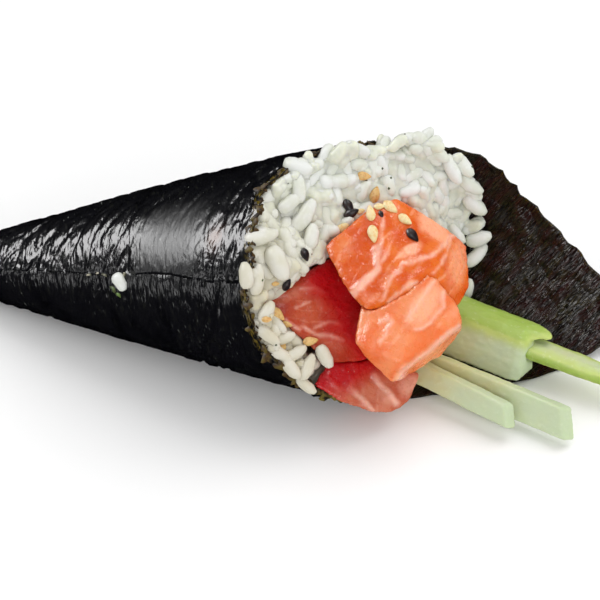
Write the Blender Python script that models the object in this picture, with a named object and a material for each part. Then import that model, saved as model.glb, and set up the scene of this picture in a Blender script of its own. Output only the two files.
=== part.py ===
"""Temaki hand roll: a cone of nori filled with rice, salmon and cucumber, lying on its side.

Metres, +Z up.  The cone's tip points to -X and its mouth to +X, and it rests on a narrow flat
strip along its underside.  The origin is on that strip, REST_FROM_TIP from the tip.

The construction works in millimetres measured from the tip.  The empty "roll" holds every piece
and moves them all to the origin.  Turns about the cone's axis are in degrees: 0 is the underside,
90 the back (+Y), 180 the top and -90 the front (-Y).
"""

import math

import bmesh
import bpy
from mathutils import Euler, Matrix, Vector, noise

MM = 0.001

# The cone: its radius grows with the distance from the tip, a little slower towards the mouth.
CONE_SLOPE = 0.311
CONE_CURVE = 0.000557
REST_FROM_TIP = 60.0
REST_FLAT = 1.00          # height shaved off the underside, which leaves the flat strip
CREASE = 0.22             # depth of the sheet's soft creases

# The nori: half of a 210 mm sheet, rolled so that one corner stands out as a flap.
SHEET_WALL = 0.60         # two layers, stuck together
SHEET_LAYER = 0.30        # step where the outer layer ends
SEAM_TURN = -124.0
RIM_FROM_TIP = 75.0       # shortest reach of the sheet's edge
CORNER_FROM_TIP = 142.0   # reach of the far corner
CORNER_TURN = 36.0
CORNER_SPREAD = 150.0     # turn from the corner at which the edge is back at the rim
EDGE_FRAY = 0.8
# Waves of the sheet's edge: the turn where each one stands, its spread and its reach.
EDGE_WAVES = ((100.0, 10.0, 3.4), (61.0, 16.0, -1.5), (-26.0, 19.0, -8.7),
              (-106.0, 20.0, 1.6))
# The free edge curls up from the floor where it runs slantwise over it: the turn and spread of
# the curl, where it starts, over what length it rises, and how far.
EDGE_CURL = (0.0, 11.0, 98.0, 8.0, 0.4)
INNER_TIP = 8.0           # the sheet is rolled solid up to here
FLAP_FROM_TIP = 62.0      # from here on the rows fan out to the edge

# The rice.
GAP = 0.35                # clearance between pieces that touch
RICE_NEAR = 76.0
RICE_FAR = 106.0
RICE_TURN = 74.0          # the turn where it climbs furthest up the flap
RICE_FRONT = 86.0         # how far it follows the sheet's edge down the front
RICE_DOME = 1.6
RICE_LUMP = 1.5
RICE_LUMP_SIZE = 6.5
RICE_SPILL = 1.0          # how far it swells out over the rim
RICE_SHY = 0.9            # how far it stays back from the sheet's edge elsewhere
SPILL_TURN = 138.0
SPILL_SPREAD = 50.0

# The mouth: its centre from the tip, and the way the filling faces.
MOUTH_CENTRE = (86.0, 2.0, 22.0)
MOUTH_TURN = 16.0         # from -Y towards +X
MOUTH_TILT = 44.0         # up from level
RICE_CENTRE = (7.0, -2.0, 1.5)

# Salmon chunks as corners in the mouth's own frame: right, up, out.
SALMON_TOP = [
    (-1.6, 1.9, 10.5), (6.1, 8.6, 8.0), (11.2, 10.8, 5.5), (19.6, 5.8, 3.5), (17.9, -2.6, 10.0),
    (11.0, -5.4, 13.0), (5.4, -9.2, 13.0), (1.8, -5.0, 12.5), (24.2, 2.2, -1.0), (24.6, -5.0, 1.5),
    (22.0, -9.2, 4.0), (1.5, 2.5, 1.5), (11.5, 8.0, -5.5), (21.0, 3.0, -7.5), (22.0, -6.5, -6.0),
    (8.0, -7.5, 3.0),
]
SALMON_FRONT = [
    (4.8, -8.2, 12.0), (16.9, -2.4, 11.0), (21.6, -7.8, 8.0), (22.8, -11.0, 8.0),
    (11.8, -18.8, 15.0), (10.5, -22.3, 11.5), (7.4, -19.4, 12.5), (3.7, -14.8, 13.5),
    (15.0, -19.6, 7.0), (19.2, -17.4, 4.0), (22.9, -12.6, 3.5), (6.5, -8.4, 2.0),
    (19.0, -5.4, -2.0), (21.0, -11.4, -4.5), (12.0, -18.4, -1.0), (5.5, -14.9, 2.5),
]
SALMON_INNER = [
    (-11.6, -7.4, 10.5), (-4.6, -3.8, 8.5), (0.4, 0.8, 4.0), (7.0, -9.0, 3.5), (6.4, -18.4, 6.0),
    (-0.4, -18.6, 8.5), (-5.0, -14.6, 10.0), (-8.4, -11.4, 10.5), (-7.5, -8.0, 2.0),
    (0.0, -2.0, -4.0), (7.0, -9.0, -5.0), (5.0, -16.5, -3.0), (-4.0, -14.0, 0.5),
]
SALMON_LOW = [
    (-3.6, -22.6, 9.0), (-0.8, -18.4, 7.0), (4.0, -17.4, 5.5), (10.0, -18.6, 4.5),
    (15.8, -20.4, 3.0), (13.6, -25.6, 3.5), (9.8, -27.6, 5.0), (6.4, -27.2, 7.0),
    (1.6, -25.6, 8.5), (0.0, -20.0, -2.0), (6.0, -18.5, -6.0), (14.0, -20.5, -6.0),
    (12.0, -25.0, -2.0),
]

# Cucumber: start and end of each stick's axis from the tip, its cross-section, and how its end
# is cut: the slant is the extra length towards its back, the lean the extra towards its top.
STICK_SHORT = {"start": (86.0, -0.1, 6.8), "end": (122.6, -10.9, 4.6), "width": 2.6, "height": 4.2,
               "slant": 0.35, "lean": -0.45, "roll": 28.0}
STICK_LONG = {"start": (90.0, 1.3, 4.3), "end": (132.8, -9.4, 4.1), "width": 2.7, "height": 5.7,
              "slant": 0.45, "lean": -0.43, "roll": 30.0}
WEDGE = {"start": (92.0, 12.0, 4.9), "end": (124.0, 5.9, 3.3), "radius": 5.9, "front": 7.0,
         "base": 1.0, "arc": 110.0, "slant": 0.21, "lean": -0.31}
TIP_SLICE = {"start": (123.8, 6.25, 5.0), "end": (144.2, 1.9, 4.8), "width": 6.4, "height": 3.4,
             "slant": 0.4, "roll": 15.0}
STICK_BEVEL = 0.45
STICK_BOW = 0.3

# Mesh density.
CONE_COLUMNS = 60
CUP_ROWS = (0.6, 2.5, 6.0, 11.0, 18.0, 26.0, 35.0, 44.0, 53.5)
FLAP_ROWS = 8
RICE_COLUMNS = 48

NORI_LOOK = ((0.012, 0.013, 0.018, 1.0), 0.35)
RICE_LOOK = ((0.80, 0.81, 0.76, 1.0), 0.45)
SALMON_LOOK = ((0.90, 0.26, 0.08, 1.0), 0.35)
SALMON_DEEP_LOOK = ((0.62, 0.08, 0.04, 1.0), 0.35)
CUCUMBER_LOOK = ((0.56, 0.62, 0.30, 1.0), 0.40)


# ---------------------------------------------------------------- scene and objects

def clear_scene():
    for old in list(bpy.data.objects):
        bpy.data.objects.remove(old, do_unlink=True)


def principled(name, look):
    colour, roughness = look
    material = bpy.data.materials.new(name)
    material.use_nodes = True
    shader = material.node_tree.nodes["Principled BSDF"]
    shader.inputs["Base Color"].default_value = colour
    shader.inputs["Roughness"].default_value = roughness
    shader.inputs["Metallic"].default_value = 0.0
    return material


def add_piece(name, bm, roll, look=None):
    """Turn a millimetre bmesh into an object that hangs on the roll's empty."""
    bmesh.ops.recalc_face_normals(bm, faces=bm.faces)
    bmesh.ops.scale(bm, vec=(MM, MM, MM), verts=bm.verts)
    mesh = bpy.data.meshes.new(name)
    bm.to_mesh(mesh)
    bm.free()
    piece = bpy.data.objects.new(name, mesh)
    bpy.context.collection.objects.link(piece)
    piece.parent = roll
    if look is not None:
        mesh.materials.append(principled(name, look))
    return piece


def make_cutter(piece):
    piece.hide_render = True
    piece.display_type = "WIRE"
    return piece


def cut(piece, cutters):
    for cutter in cutters:
        boolean = piece.modifiers.new("cut_" + cutter.name, "BOOLEAN")
        boolean.operation = "DIFFERENCE"
        boolean.solver = "EXACT"
        boolean.object = cutter


# ---------------------------------------------------------------- the cone's shape

def turn_between(a, b):
    """Smallest turn between two angles in degrees, 0 to 180."""
    return abs((a - b + 180.0) % 360.0 - 180.0)


def cone_radius(x):
    return CONE_SLOPE * x - CONE_CURVE * x * x


def crease_depth(x, turn):
    """Soft creases that run slantwise round the cone and fade out on its underside."""
    angle = math.radians(turn)
    wave = math.sin(x / 5.5 + 1.7 * math.sin(angle)) * math.cos(3.0 * angle + x / 17.0)
    return CREASE * wave * min(x / 30.0, 1.0) * (1.0 - math.cos(angle)) / 2.0


def edge_curl(x, turn):
    place, spread, start, length, height = EDGE_CURL
    rise = min(max((x - start) / length, 0.0), 1.0)
    return height * rise * math.exp(-(turn_between(turn, place) / spread) ** 4)


def cone_point(x, turn, inset):
    """Point at a distance inside the cone's outer surface.  The circle's lowest point stays at
    the inset's height above the floor, where the resting strip is shaved flat."""
    angle = math.radians(turn)
    middle = cone_radius(x)
    radius = max(middle + crease_depth(x, turn) - inset, 0.0)
    height = middle - radius * math.cos(angle)
    floor = REST_FLAT + inset
    return Vector((x, radius * math.sin(angle), max(height, floor) - REST_FLAT + edge_curl(x, turn)))


def sheet_reach(turn):
    """Distance from the tip at which the nori ends: short at the rim, long at the corner."""
    away = turn_between(turn, CORNER_TURN)
    fall = math.hypot(away, 5.0) / CORNER_SPREAD
    reach = (CORNER_FROM_TIP - RIM_FROM_TIP) * max(0.0, 1.0 - fall) ** 1.5
    angle = math.radians(turn)
    fray = 0.6 * math.sin(5.0 * angle + 0.6) + 0.4 * math.sin(13.0 * angle)
    for place, spread, amount in EDGE_WAVES:
        reach += amount * math.exp(-(turn_between(turn, place) / spread) ** 2)
    return RIM_FROM_TIP + reach + EDGE_FRAY * fray


def sheet_rows(turn, first, extra):
    """Distances of the sheet's rows from the tip along one line of the cone."""
    rows = [x for x in CUP_ROWS if x > first]
    span = sheet_reach(turn) + extra - FLAP_FROM_TIP
    rows += [FLAP_FROM_TIP + span * (k / FLAP_ROWS) ** 0.85 for k in range(FLAP_ROWS + 1)]
    return rows


# ---------------------------------------------------------------- nori sheet

def nori_shell(outer, inner, extra):
    """Rolled sheet as one closed shell.  Its outer side winds inwards by one layer in a turn,
    which leaves the step of the sheet's edge along the seam."""
    bm = bmesh.new()
    turns = [SEAM_TURN + 360.0 * k / CONE_COLUMNS for k in range(CONE_COLUMNS + 1)]
    outside = []
    for k, turn in enumerate(turns):
        layer = SHEET_LAYER * k / CONE_COLUMNS
        column = []
        for x in sheet_rows(turn, 0.0, extra):
            sunk = layer * min(x / 20.0, 1.0)
            column.append(bm.verts.new(cone_point(x, turn, outer + sunk)))
        outside.append(column)
    inside = []
    for turn in turns[:-1]:
        column = [bm.verts.new(cone_point(x, turn, inner)) for x in sheet_rows(turn, INNER_TIP, extra)]
        inside.append(column)
    for left, right in zip(outside, outside[1:] + outside[:1]):
        for row in range(len(left) - 1):
            bm.faces.new((left[row], left[row + 1], right[row + 1], right[row]))
    for left, right in zip(inside, inside[1:] + inside[:1]):
        for row in range(len(left) - 1):
            bm.faces.new((left[row], right[row], right[row + 1], left[row + 1]))
    bm.faces.new([column[0] for column in outside])
    bm.faces.new([column[0] for column in reversed(inside)])
    for k in range(CONE_COLUMNS):
        inner_right = inside[(k + 1) % CONE_COLUMNS][-1]
        bm.faces.new((outside[k][-1], inside[k][-1], inner_right, outside[k + 1][-1]))
    bm.faces.new((outside[-1][-1], inside[0][-1], outside[0][-1]))
    bmesh.ops.triangulate(bm, faces=[face for face in bm.faces if len(face.verts) > 4])
    return bm


# ---------------------------------------------------------------- rice

def rice_climb(turn):
    """Distance from the tip that the rice would reach if the sheet didn't end."""
    away = math.radians(turn_between(turn, RICE_TURN))
    climb = RICE_NEAR + (RICE_FAR - RICE_NEAR) * (math.cos(away / 2.0) ** 2) ** 2.3
    return max(climb, min(sheet_reach(turn) - RICE_SHY, RICE_FRONT))


def rice_lump(point):
    rough = noise.noise(point / RICE_LUMP_SIZE) + 0.5 * noise.noise(point * 2.3 / RICE_LUMP_SIZE)
    return RICE_LUMP * rough


def rice_body():
    """The packed rice: it fills the cone, and its lumpy face closes the mouth."""
    bm = bmesh.new()
    frame = mouth_frame()
    out = frame.to_3x3() @ Vector((0.0, 0.0, 1.0))
    centre = frame @ Vector(RICE_CENTRE)
    wall = SHEET_WALL + GAP
    fills = (0.0, 0.12, 0.27, 0.42, 0.57, 0.70, 0.82, 0.92, 1.0)
    rings = [0.93, 0.82, 0.70, 0.56, 0.42, 0.28, 0.14]
    columns = []
    for k in range(RICE_COLUMNS):
        turn = 360.0 * k / RICE_COLUMNS
        climb = rice_climb(turn)
        edge = sheet_reach(turn)
        spill = max(0.0, 1.0 - turn_between(turn, SPILL_TURN) / SPILL_SPREAD)
        top = min(climb, edge - RICE_SHY + 1.7 * min(3.0 * spill, 1.0))
        past = min(max((top + 1.1 - edge) / 1.9, 0.0), 1.0)
        swell = past ** 2 * math.sqrt(max(0.0, spill - 0.34) / 0.66)
        start = INNER_TIP + 5.0
        column = [cone_point(start + (top - start) * fill, turn, wall) for fill in fills]
        lip = cone_point(top + 1.1, turn, wall - (wall + RICE_SPILL) * swell)
        column.append(lip)
        for ring in rings:
            point = centre + (lip - centre) * ring
            point += out * (RICE_DOME * (1.0 - ring ** 2) + rice_lump(point))
            column.append(point)
        columns.append([bm.verts.new(point) for point in column])
    for left, right in zip(columns, columns[1:] + columns[:1]):
        for row in range(len(left) - 1):
            bm.faces.new((left[row], right[row], right[row + 1], left[row + 1]))
    bm.faces.new([column[0] for column in reversed(columns)])
    middle = bm.verts.new(centre + out * RICE_DOME)
    for left, right in zip(columns, columns[1:] + columns[:1]):
        bm.faces.new((left[-1], right[-1], middle))
    bmesh.ops.triangulate(bm, faces=[face for face in bm.faces if len(face.verts) > 4])
    return bm


# ---------------------------------------------------------------- salmon

def mouth_frame():
    """Matrix of the mouth's own frame: right, up and out."""
    turn = Euler((math.radians(90.0 - MOUTH_TILT), 0.0, math.radians(MOUTH_TURN)), "XYZ")
    return Matrix.Translation(MOUTH_CENTRE) @ turn.to_matrix().to_4x4()


def hull(points):
    bm = bmesh.new()
    for point in points:
        bm.verts.new(point)
    result = bmesh.ops.convex_hull(bm, input=bm.verts)
    loose = [item for item in result["geom_interior"] if isinstance(item, bmesh.types.BMVert)]
    bmesh.ops.delete(bm, geom=loose, context="VERTS")
    return bm


def add_chunk(name, corners, roll, look):
    """Irregular block of fish: a hull of its corners with the edges softened."""
    bm = hull([Vector(corner) for corner in corners])
    bmesh.ops.dissolve_limit(bm, angle_limit=math.radians(10.0), verts=bm.verts, edges=bm.edges)
    crease = bm.edges.layers.float.new("crease_edge")
    for edge in bm.edges:
        edge[crease] = 0.8
    chunk = add_piece(name, bm, roll, look)
    frame = mouth_frame()
    chunk.location = frame.to_translation() * MM
    chunk.rotation_euler = frame.to_euler()
    soften = chunk.modifiers.new("soften", "SUBSURF")
    soften.levels = 2
    soften.render_levels = 2
    chunk.data.shade_smooth()
    return chunk


# ---------------------------------------------------------------- cucumber

def stick_frame(start, end):
    """Matrix with +X along the stick, +Y across it and +Z up."""
    along = (Vector(end) - Vector(start)).normalized()
    across = Vector((0.0, 0.0, 1.0)).cross(along).normalized()
    rise = along.cross(across)
    turn = Matrix((along, across, rise)).transposed()
    return Matrix.Translation(start) @ turn.to_4x4()


def loft(sections):
    """Closed skin through a row of cross-sections that all have the same number of points."""
    bm = bmesh.new()
    loops = [[bm.verts.new(point) for point in section] for section in sections]
    for near, far in zip(loops, loops[1:]):
        for k in range(len(near)):
            after = (k + 1) % len(near)
            bm.faces.new((near[k], near[after], far[after], far[k]))
    bm.faces.new(list(reversed(loops[0])))
    bm.faces.new(loops[-1])
    return bm


def add_stick_piece(name, size, sections, roll):
    piece = add_piece(name, loft(sections), roll, CUCUMBER_LOOK)
    frame = stick_frame(size["start"], size["end"])
    piece.location = frame.to_translation() * MM
    piece.rotation_euler = frame.to_euler()
    bevel = piece.modifiers.new("soft_edges", "BEVEL")
    bevel.width = STICK_BEVEL * MM
    bevel.segments = 2
    bevel.limit_method = "ANGLE"
    bevel.angle_limit = math.radians(40.0)
    return piece


def stick_length(size):
    return (Vector(size["end"]) - Vector(size["start"])).length


def turned(across, rise, size):
    """A point of the cross-section once the stick is rolled, its front face turned upwards."""
    angle = math.radians(size["roll"])
    return (across * math.cos(angle) + rise * math.sin(angle),
            rise * math.cos(angle) - across * math.sin(angle))


def add_stick(name, size, roll):
    """Square-cut baton with a slight bow and a slanted end."""
    length = stick_length(size)
    half_width = size["width"] / 2.0
    half_height = size["height"] / 2.0
    corners = [(-half_width, -half_height), (half_width, -half_height),
               (half_width, half_height), (-half_width, half_height)]
    sections = []
    for k in range(7):
        share = k / 6.0
        bow = STICK_BOW * math.sin(math.pi * share)
        section = []
        for across, rise in corners:
            along = length * share + (size["slant"] * across + size["lean"] * rise) * share
            section.append((along, *turned(across + bow, rise, size)))
        sections.append(section)
    return add_stick_piece(name, size, sections, roll)


def add_wedge(name, size, roll):
    """Lengthwise wedge: a flat cut face in front, a flat base, and the skin as an arc behind."""
    length = stick_length(size)
    outline = [(-size["front"], -size["base"])]
    for k in range(8):
        angle = math.radians(size["arc"] * (1.0 - k / 7.0))
        outline.append((size["radius"] * math.cos(angle), size["radius"] * math.sin(angle)))
    outline.append((size["radius"] * 0.93, -size["base"]))
    sections = []
    for share in (0.0, 0.25, 0.5, 0.75, 0.95, 1.0):
        section = []
        for across, rise in reversed(outline):
            along = length * share + (size["slant"] * across + size["lean"] * rise) * share
            round_off = 0.93 if share == 1.0 else 1.0
            section.append((along, across * round_off, max(rise * round_off, -size["base"])))
        sections.append(section)
    return add_stick_piece(name, size, sections, roll)


def add_tip_slice(name, size, roll):
    """Tapering slice from the cucumber's end, skin on both long edges."""
    length = stick_length(size)
    sections = []
    for share in (0.0, 0.2, 0.4, 0.6, 0.75, 0.88, 0.96, 1.0):
        taper = math.sqrt(max(1.0 - share ** 3, 0.05))
        section = []
        for k in range(10):
            angle = 2.0 * math.pi * k / 10.0
            across = 0.5 * size["width"] * taper * math.cos(angle)
            rise = 0.5 * size["height"] * taper * math.sin(angle)
            along = length * share + size["slant"] * across * (1.0 - share)
            section.append((along, *turned(across, rise, size)))
        sections.append(section)
    return add_stick_piece(name, size, sections, roll)


# ---------------------------------------------------------------- clearances

def roll_points(piece, roll):
    """Corners of a piece as it stands now, in millimetres from the tip."""
    bpy.context.view_layer.update()
    evaluated = piece.evaluated_get(bpy.context.evaluated_depsgraph_get())
    place = roll.matrix_world.inverted() @ piece.matrix_world
    mesh = evaluated.to_mesh()
    points = [(place @ vertex.co) / MM for vertex in mesh.vertices]
    evaluated.to_mesh_clear()
    return points


def add_clearance(piece, roll, sweep):
    """Cutter round a piece: its hull, grown by the gap and swept along a direction."""
    reach = GAP / math.sqrt(3.0) * 1.25
    grown = []
    for point in roll_points(piece, roll):
        for sx in (-reach, reach):
            for sy in (-reach, reach):
                for sz in (-reach, reach):
                    grown.append(point + Vector((sx, sy, sz)))
    if sweep is not None:
        grown += [point + sweep for point in grown]
    return make_cutter(add_piece("clear_" + piece.name, hull(grown), roll))


def main():
    clear_scene()
    roll = bpy.data.objects.new("roll", None)
    bpy.context.collection.objects.link(roll)
    roll.location = (-REST_FROM_TIP * MM, 0.0, 0.0)
    out = mouth_frame().to_3x3() @ Vector((0.0, 0.0, 1.0))

    nori = add_piece("nori_sheet", nori_shell(0.0, SHEET_WALL, 0.0), roll, NORI_LOOK)
    nori.data.shade_smooth()
    nori.data.set_sharp_from_angle(angle=math.radians(50.0))
    clear_nori = add_piece("clear_nori_sheet", nori_shell(-4.0, SHEET_WALL + GAP, GAP), roll)
    make_cutter(clear_nori)

    wedge = add_wedge("cucumber_wedge", WEDGE, roll)
    short = add_stick("cucumber_stick_short", STICK_SHORT, roll)
    long = add_stick("cucumber_stick_long", STICK_LONG, roll)
    tip_slice = add_tip_slice("cucumber_tip_slice", TIP_SLICE, roll)
    clear_sticks = [add_clearance(piece, roll, None) for piece in (wedge, short, long)]
    cut(wedge, [clear_nori, add_clearance(tip_slice, roll, None)])

    top = add_chunk("salmon_top", SALMON_TOP, roll, SALMON_LOOK)
    front = add_chunk("salmon_front", SALMON_FRONT, roll, SALMON_LOOK)
    inner = add_chunk("salmon_inner", SALMON_INNER, roll, SALMON_DEEP_LOOK)
    low = add_chunk("salmon_low", SALMON_LOW, roll, SALMON_LOOK)
    chunks = [top, front, inner, low]
    clear_chunks = [add_clearance(chunk, roll, None) for chunk in chunks]
    clear_view = [add_clearance(chunk, roll, out * 16.0) for chunk in chunks]
    for number, chunk in enumerate(chunks):
        cut(chunk, clear_chunks[:number] + clear_sticks + [clear_nori])

    rice = add_piece("rice", rice_body(), roll, RICE_LOOK)
    cut(rice, clear_view + clear_sticks)


main()
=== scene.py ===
"""Looks of a temaki hand roll: nori, rice, salmon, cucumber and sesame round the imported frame.

Shapes are worked out in millimetres from the cone's tip and brought into the frame's metres when
they are done.  Turns about the cone's axis are in degrees: 0 is the underside, 90 the back (+Y),
180 the top and -90 the front (-Y).  The filling faces along the mouth's own axes: right, up, out.
"""
import math
import random

import bpy
from bpy.props import FloatProperty, FloatVectorProperty, PointerProperty
from mathutils import Euler, Matrix, Vector, noise
from mathutils.bvhtree import BVHTree


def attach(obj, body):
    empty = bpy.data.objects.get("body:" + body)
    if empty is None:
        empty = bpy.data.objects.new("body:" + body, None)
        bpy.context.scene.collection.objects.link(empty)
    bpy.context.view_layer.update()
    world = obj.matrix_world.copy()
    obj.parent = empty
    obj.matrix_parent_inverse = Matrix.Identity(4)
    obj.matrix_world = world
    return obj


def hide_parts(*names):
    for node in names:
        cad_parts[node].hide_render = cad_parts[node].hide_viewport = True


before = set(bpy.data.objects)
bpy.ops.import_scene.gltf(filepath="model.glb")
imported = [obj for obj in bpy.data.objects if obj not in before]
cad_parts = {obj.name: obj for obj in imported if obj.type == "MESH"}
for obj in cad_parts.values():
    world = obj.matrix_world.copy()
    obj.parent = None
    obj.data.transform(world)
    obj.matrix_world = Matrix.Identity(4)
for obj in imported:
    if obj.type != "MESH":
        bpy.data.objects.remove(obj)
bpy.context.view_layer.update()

bl_info = {
    "name": "Temaki hand roll",
    "version": (1, 0, 0),
    "blender": (4, 5, 0),
    "location": "View3D > Sidebar > Temaki",
    "description": "Builds the looks of a temaki hand roll round its packed frame",
    "category": "Add Mesh",
}

MM = 0.001
MAP_UNIT = 100.0          # millimetres of the nori in one unit of its UV map
BODY = "root"

# The cone that the nori is rolled into.
CONE_SLOPE = 0.311
CONE_CURVE = 0.000557
REST_FROM_TIP = 60.0
REST_FLAT = 1.00
CREASE = 0.22
RIM_FROM_TIP = 75.0
CORNER_FROM_TIP = 142.0
CORNER_TURN = 36.0
CORNER_SPREAD = 150.0
CORNER_ROUND = 5.0        # turn over which the corner is rounded off
CORNER_POINT = 1.5        # how pointed the corner is; 1 has straight sides
EDGE_FRAY = 0.8
# Waves of the sheet's edge: the turn where each one stands, its spread and its reach.
EDGE_WAVES = ((100.0, 10.0, 3.4), (61.0, 16.0, -1.5), (-26.0, 19.0, -8.7), (-106.0, 20.0, 1.6))
# The free edge curls up from the floor where it runs slantwise over it: the turn and spread of
# the curl, where it starts, over what length it rises, and how far.
EDGE_CURL = (0.0, 11.0, 98.0, 8.0, 0.4)
SEAM_TURN = -124.0
SEAM_OVERLAP = 14.0       # turn by which the sheet's start lies under its end
SHEET_LAYER = 0.12        # how far the sheet winds inwards in one turn
SHEET_START = 0.35        # distance from the tip at which the sheet begins

# The mouth: its centre from the tip, and the way the filling faces.
MOUTH_CENTRE = (86.0, 2.0, 22.0)
MOUTH_TURN = 16.0
MOUTH_TILT = 44.0

TO_ROW = Matrix.Scale(MM, 4) @ Matrix.Translation((-REST_FROM_TIP, 0.0, 0.0))
TO_TIP = TO_ROW.inverted()


def srgb(red, green, blue):
    """Linear colour of a display colour given in 0 to 255."""
    linear = []
    for part in (red, green, blue):
        share = part / 255.0
        linear.append(share / 12.92 if share <= 0.04045 else ((share + 0.055) / 1.055) ** 2.4)
    return tuple(linear)


# ---------------------------------------------------------------- settings

def colour_setting(name, description, default):
    """A colour that the panel shows."""
    return FloatVectorProperty(name=name, description=description, subtype="COLOR", size=3,
                               min=0.0, max=1.0, default=default)


def length_setting(name, description, millimetres):
    """A length that the panel shows."""
    return FloatProperty(name=name, description=description, default=millimetres * MM,
                         min=0.0, unit="LENGTH", subtype="DISTANCE", precision=5)


class TemakiNori(bpy.types.PropertyGroup):
    wall: length_setting("Sheet thickness", "Thickness of one layer of nori", 0.34)
    fold: length_setting("Fold depth", "Depth of the creases that run round the cone", 0.42)
    fray: length_setting("Fray", "How ragged the sheet's edge is", 0.55)
    outside: colour_setting("Outside", "Colour of the smooth outer side", srgb(13, 13, 17))
    inside: colour_setting("Inside", "Colour of the rough inner side", srgb(22, 14, 10))
    edge: colour_setting("Edge", "Colour where the sheet is thin and light comes through",
                         srgb(100, 84, 26))


class TemakiRice(bpy.types.PropertyGroup):
    grain_length: length_setting("Grain length", "Length of a cooked grain", 4.9)
    grain_width: length_setting("Grain width", "Width of a cooked grain", 2.5)
    grain: colour_setting("Grain", "Colour of the cooked grains", srgb(224, 226, 222))
    starch: colour_setting("Starch", "Colour between the grains", srgb(222, 224, 210))
    # Painted shade: the darker, yellower rice low in the mouth and down its left side.
    starch_shaded: colour_setting("Warm starch", "Colour of the rice low in the mouth",
                                srgb(204, 194, 168))


class TemakiSalmon(bpy.types.PropertyGroup):
    flesh: colour_setting("Flesh", "Colour of the lit flesh", srgb(214, 82, 6))
    flesh_pale: colour_setting("Pale flesh", "Colour of the paler patches", srgb(228, 112, 36))
    fat_pink: colour_setting("Fatty flesh", "Colour of the fatty patches", srgb(250, 178, 140))
    fat: colour_setting("Fat", "Colour of the lines of fat", srgb(252, 204, 184))
    # Painted shade: the deep red that the flesh is painted where it lies in shadow under the other
    # chunks.
    shade_red: colour_setting("Deep flesh", "Colour of the flesh deep in the mouth", srgb(188, 16, 26))


class TemakiCucumber(bpy.types.PropertyGroup):
    flesh: colour_setting("Flesh", "Colour of the cut flesh", srgb(194, 208, 172))
    # Painted reflected light: the tan that the flesh takes from the salmon, towards each piece's
    # inner end.
    core: colour_setting("Core", "Colour of the flesh next to the seeds", srgb(206, 200, 142))
    rind: colour_setting("Rind", "Colour just under the skin", srgb(190, 206, 116))
    skin: colour_setting("Skin", "Colour of the skin", srgb(162, 188, 86))


class TemakiSesame(bpy.types.PropertyGroup):
    seed_length: length_setting("Seed length", "Length of a sesame seed", 2.95)
    white: colour_setting("White seed", "Colour of the hulled seeds", srgb(236, 216, 164))
    toasted: colour_setting("Toasted seed", "Colour of the toasted seeds", srgb(222, 184, 118))
    black: colour_setting("Black seed", "Colour of the black seeds", srgb(30, 24, 28))


class TemakiStage(bpy.types.PropertyGroup):
    floor: colour_setting("Floor", "Colour of the floor", (0.97, 0.97, 0.97))
    sky: FloatProperty(name="Sky", description="Strength of the even light from all round",
                       default=0.80, min=0.0)
    lens: FloatProperty(name="Lens", description="Focal length of the camera",
                        default=193.5, min=1.0, unit="CAMERA")


SETTINGS = {
    "temaki_nori": TemakiNori,
    "temaki_rice": TemakiRice,
    "temaki_salmon": TemakiSalmon,
    "temaki_cucumber": TemakiCucumber,
    "temaki_sesame": TemakiSesame,
    "temaki_stage": TemakiStage,
}


# ---------------------------------------------------------------- shader maths

class Value:
    """A shader socket.  Arithmetic on it adds the Math nodes that work it out."""

    def __init__(self, finish, socket):
        self.finish = finish
        self.socket = socket

    def math(self, operation, *operands):
        inputs = dict(enumerate(operands))
        return self.finish.node("ShaderNodeMath", {"operation": operation}, inputs)

    def __add__(self, other):
        return self.math("ADD", self, other)

    def __radd__(self, other):
        return self.math("ADD", other, self)

    def __sub__(self, other):
        return self.math("SUBTRACT", self, other)

    def __rsub__(self, other):
        return self.math("SUBTRACT", other, self)

    def __mul__(self, other):
        return self.math("MULTIPLY", self, other)

    def __rmul__(self, other):
        return self.math("MULTIPLY", other, self)

    def __abs__(self):
        return self.math("ABSOLUTE", self)

    def fraction(self):
        return self.math("FRACT", self)

    def step(self, low, high):
        """0 below low, 1 above high, and a smooth rise between; high may be the smaller."""
        return self.finish.node("ShaderNodeMapRange", {"interpolation_type": "SMOOTHSTEP"},
                                {0: self, 1: low, 2: high, 3: 0.0, 4: 1.0})


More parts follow.
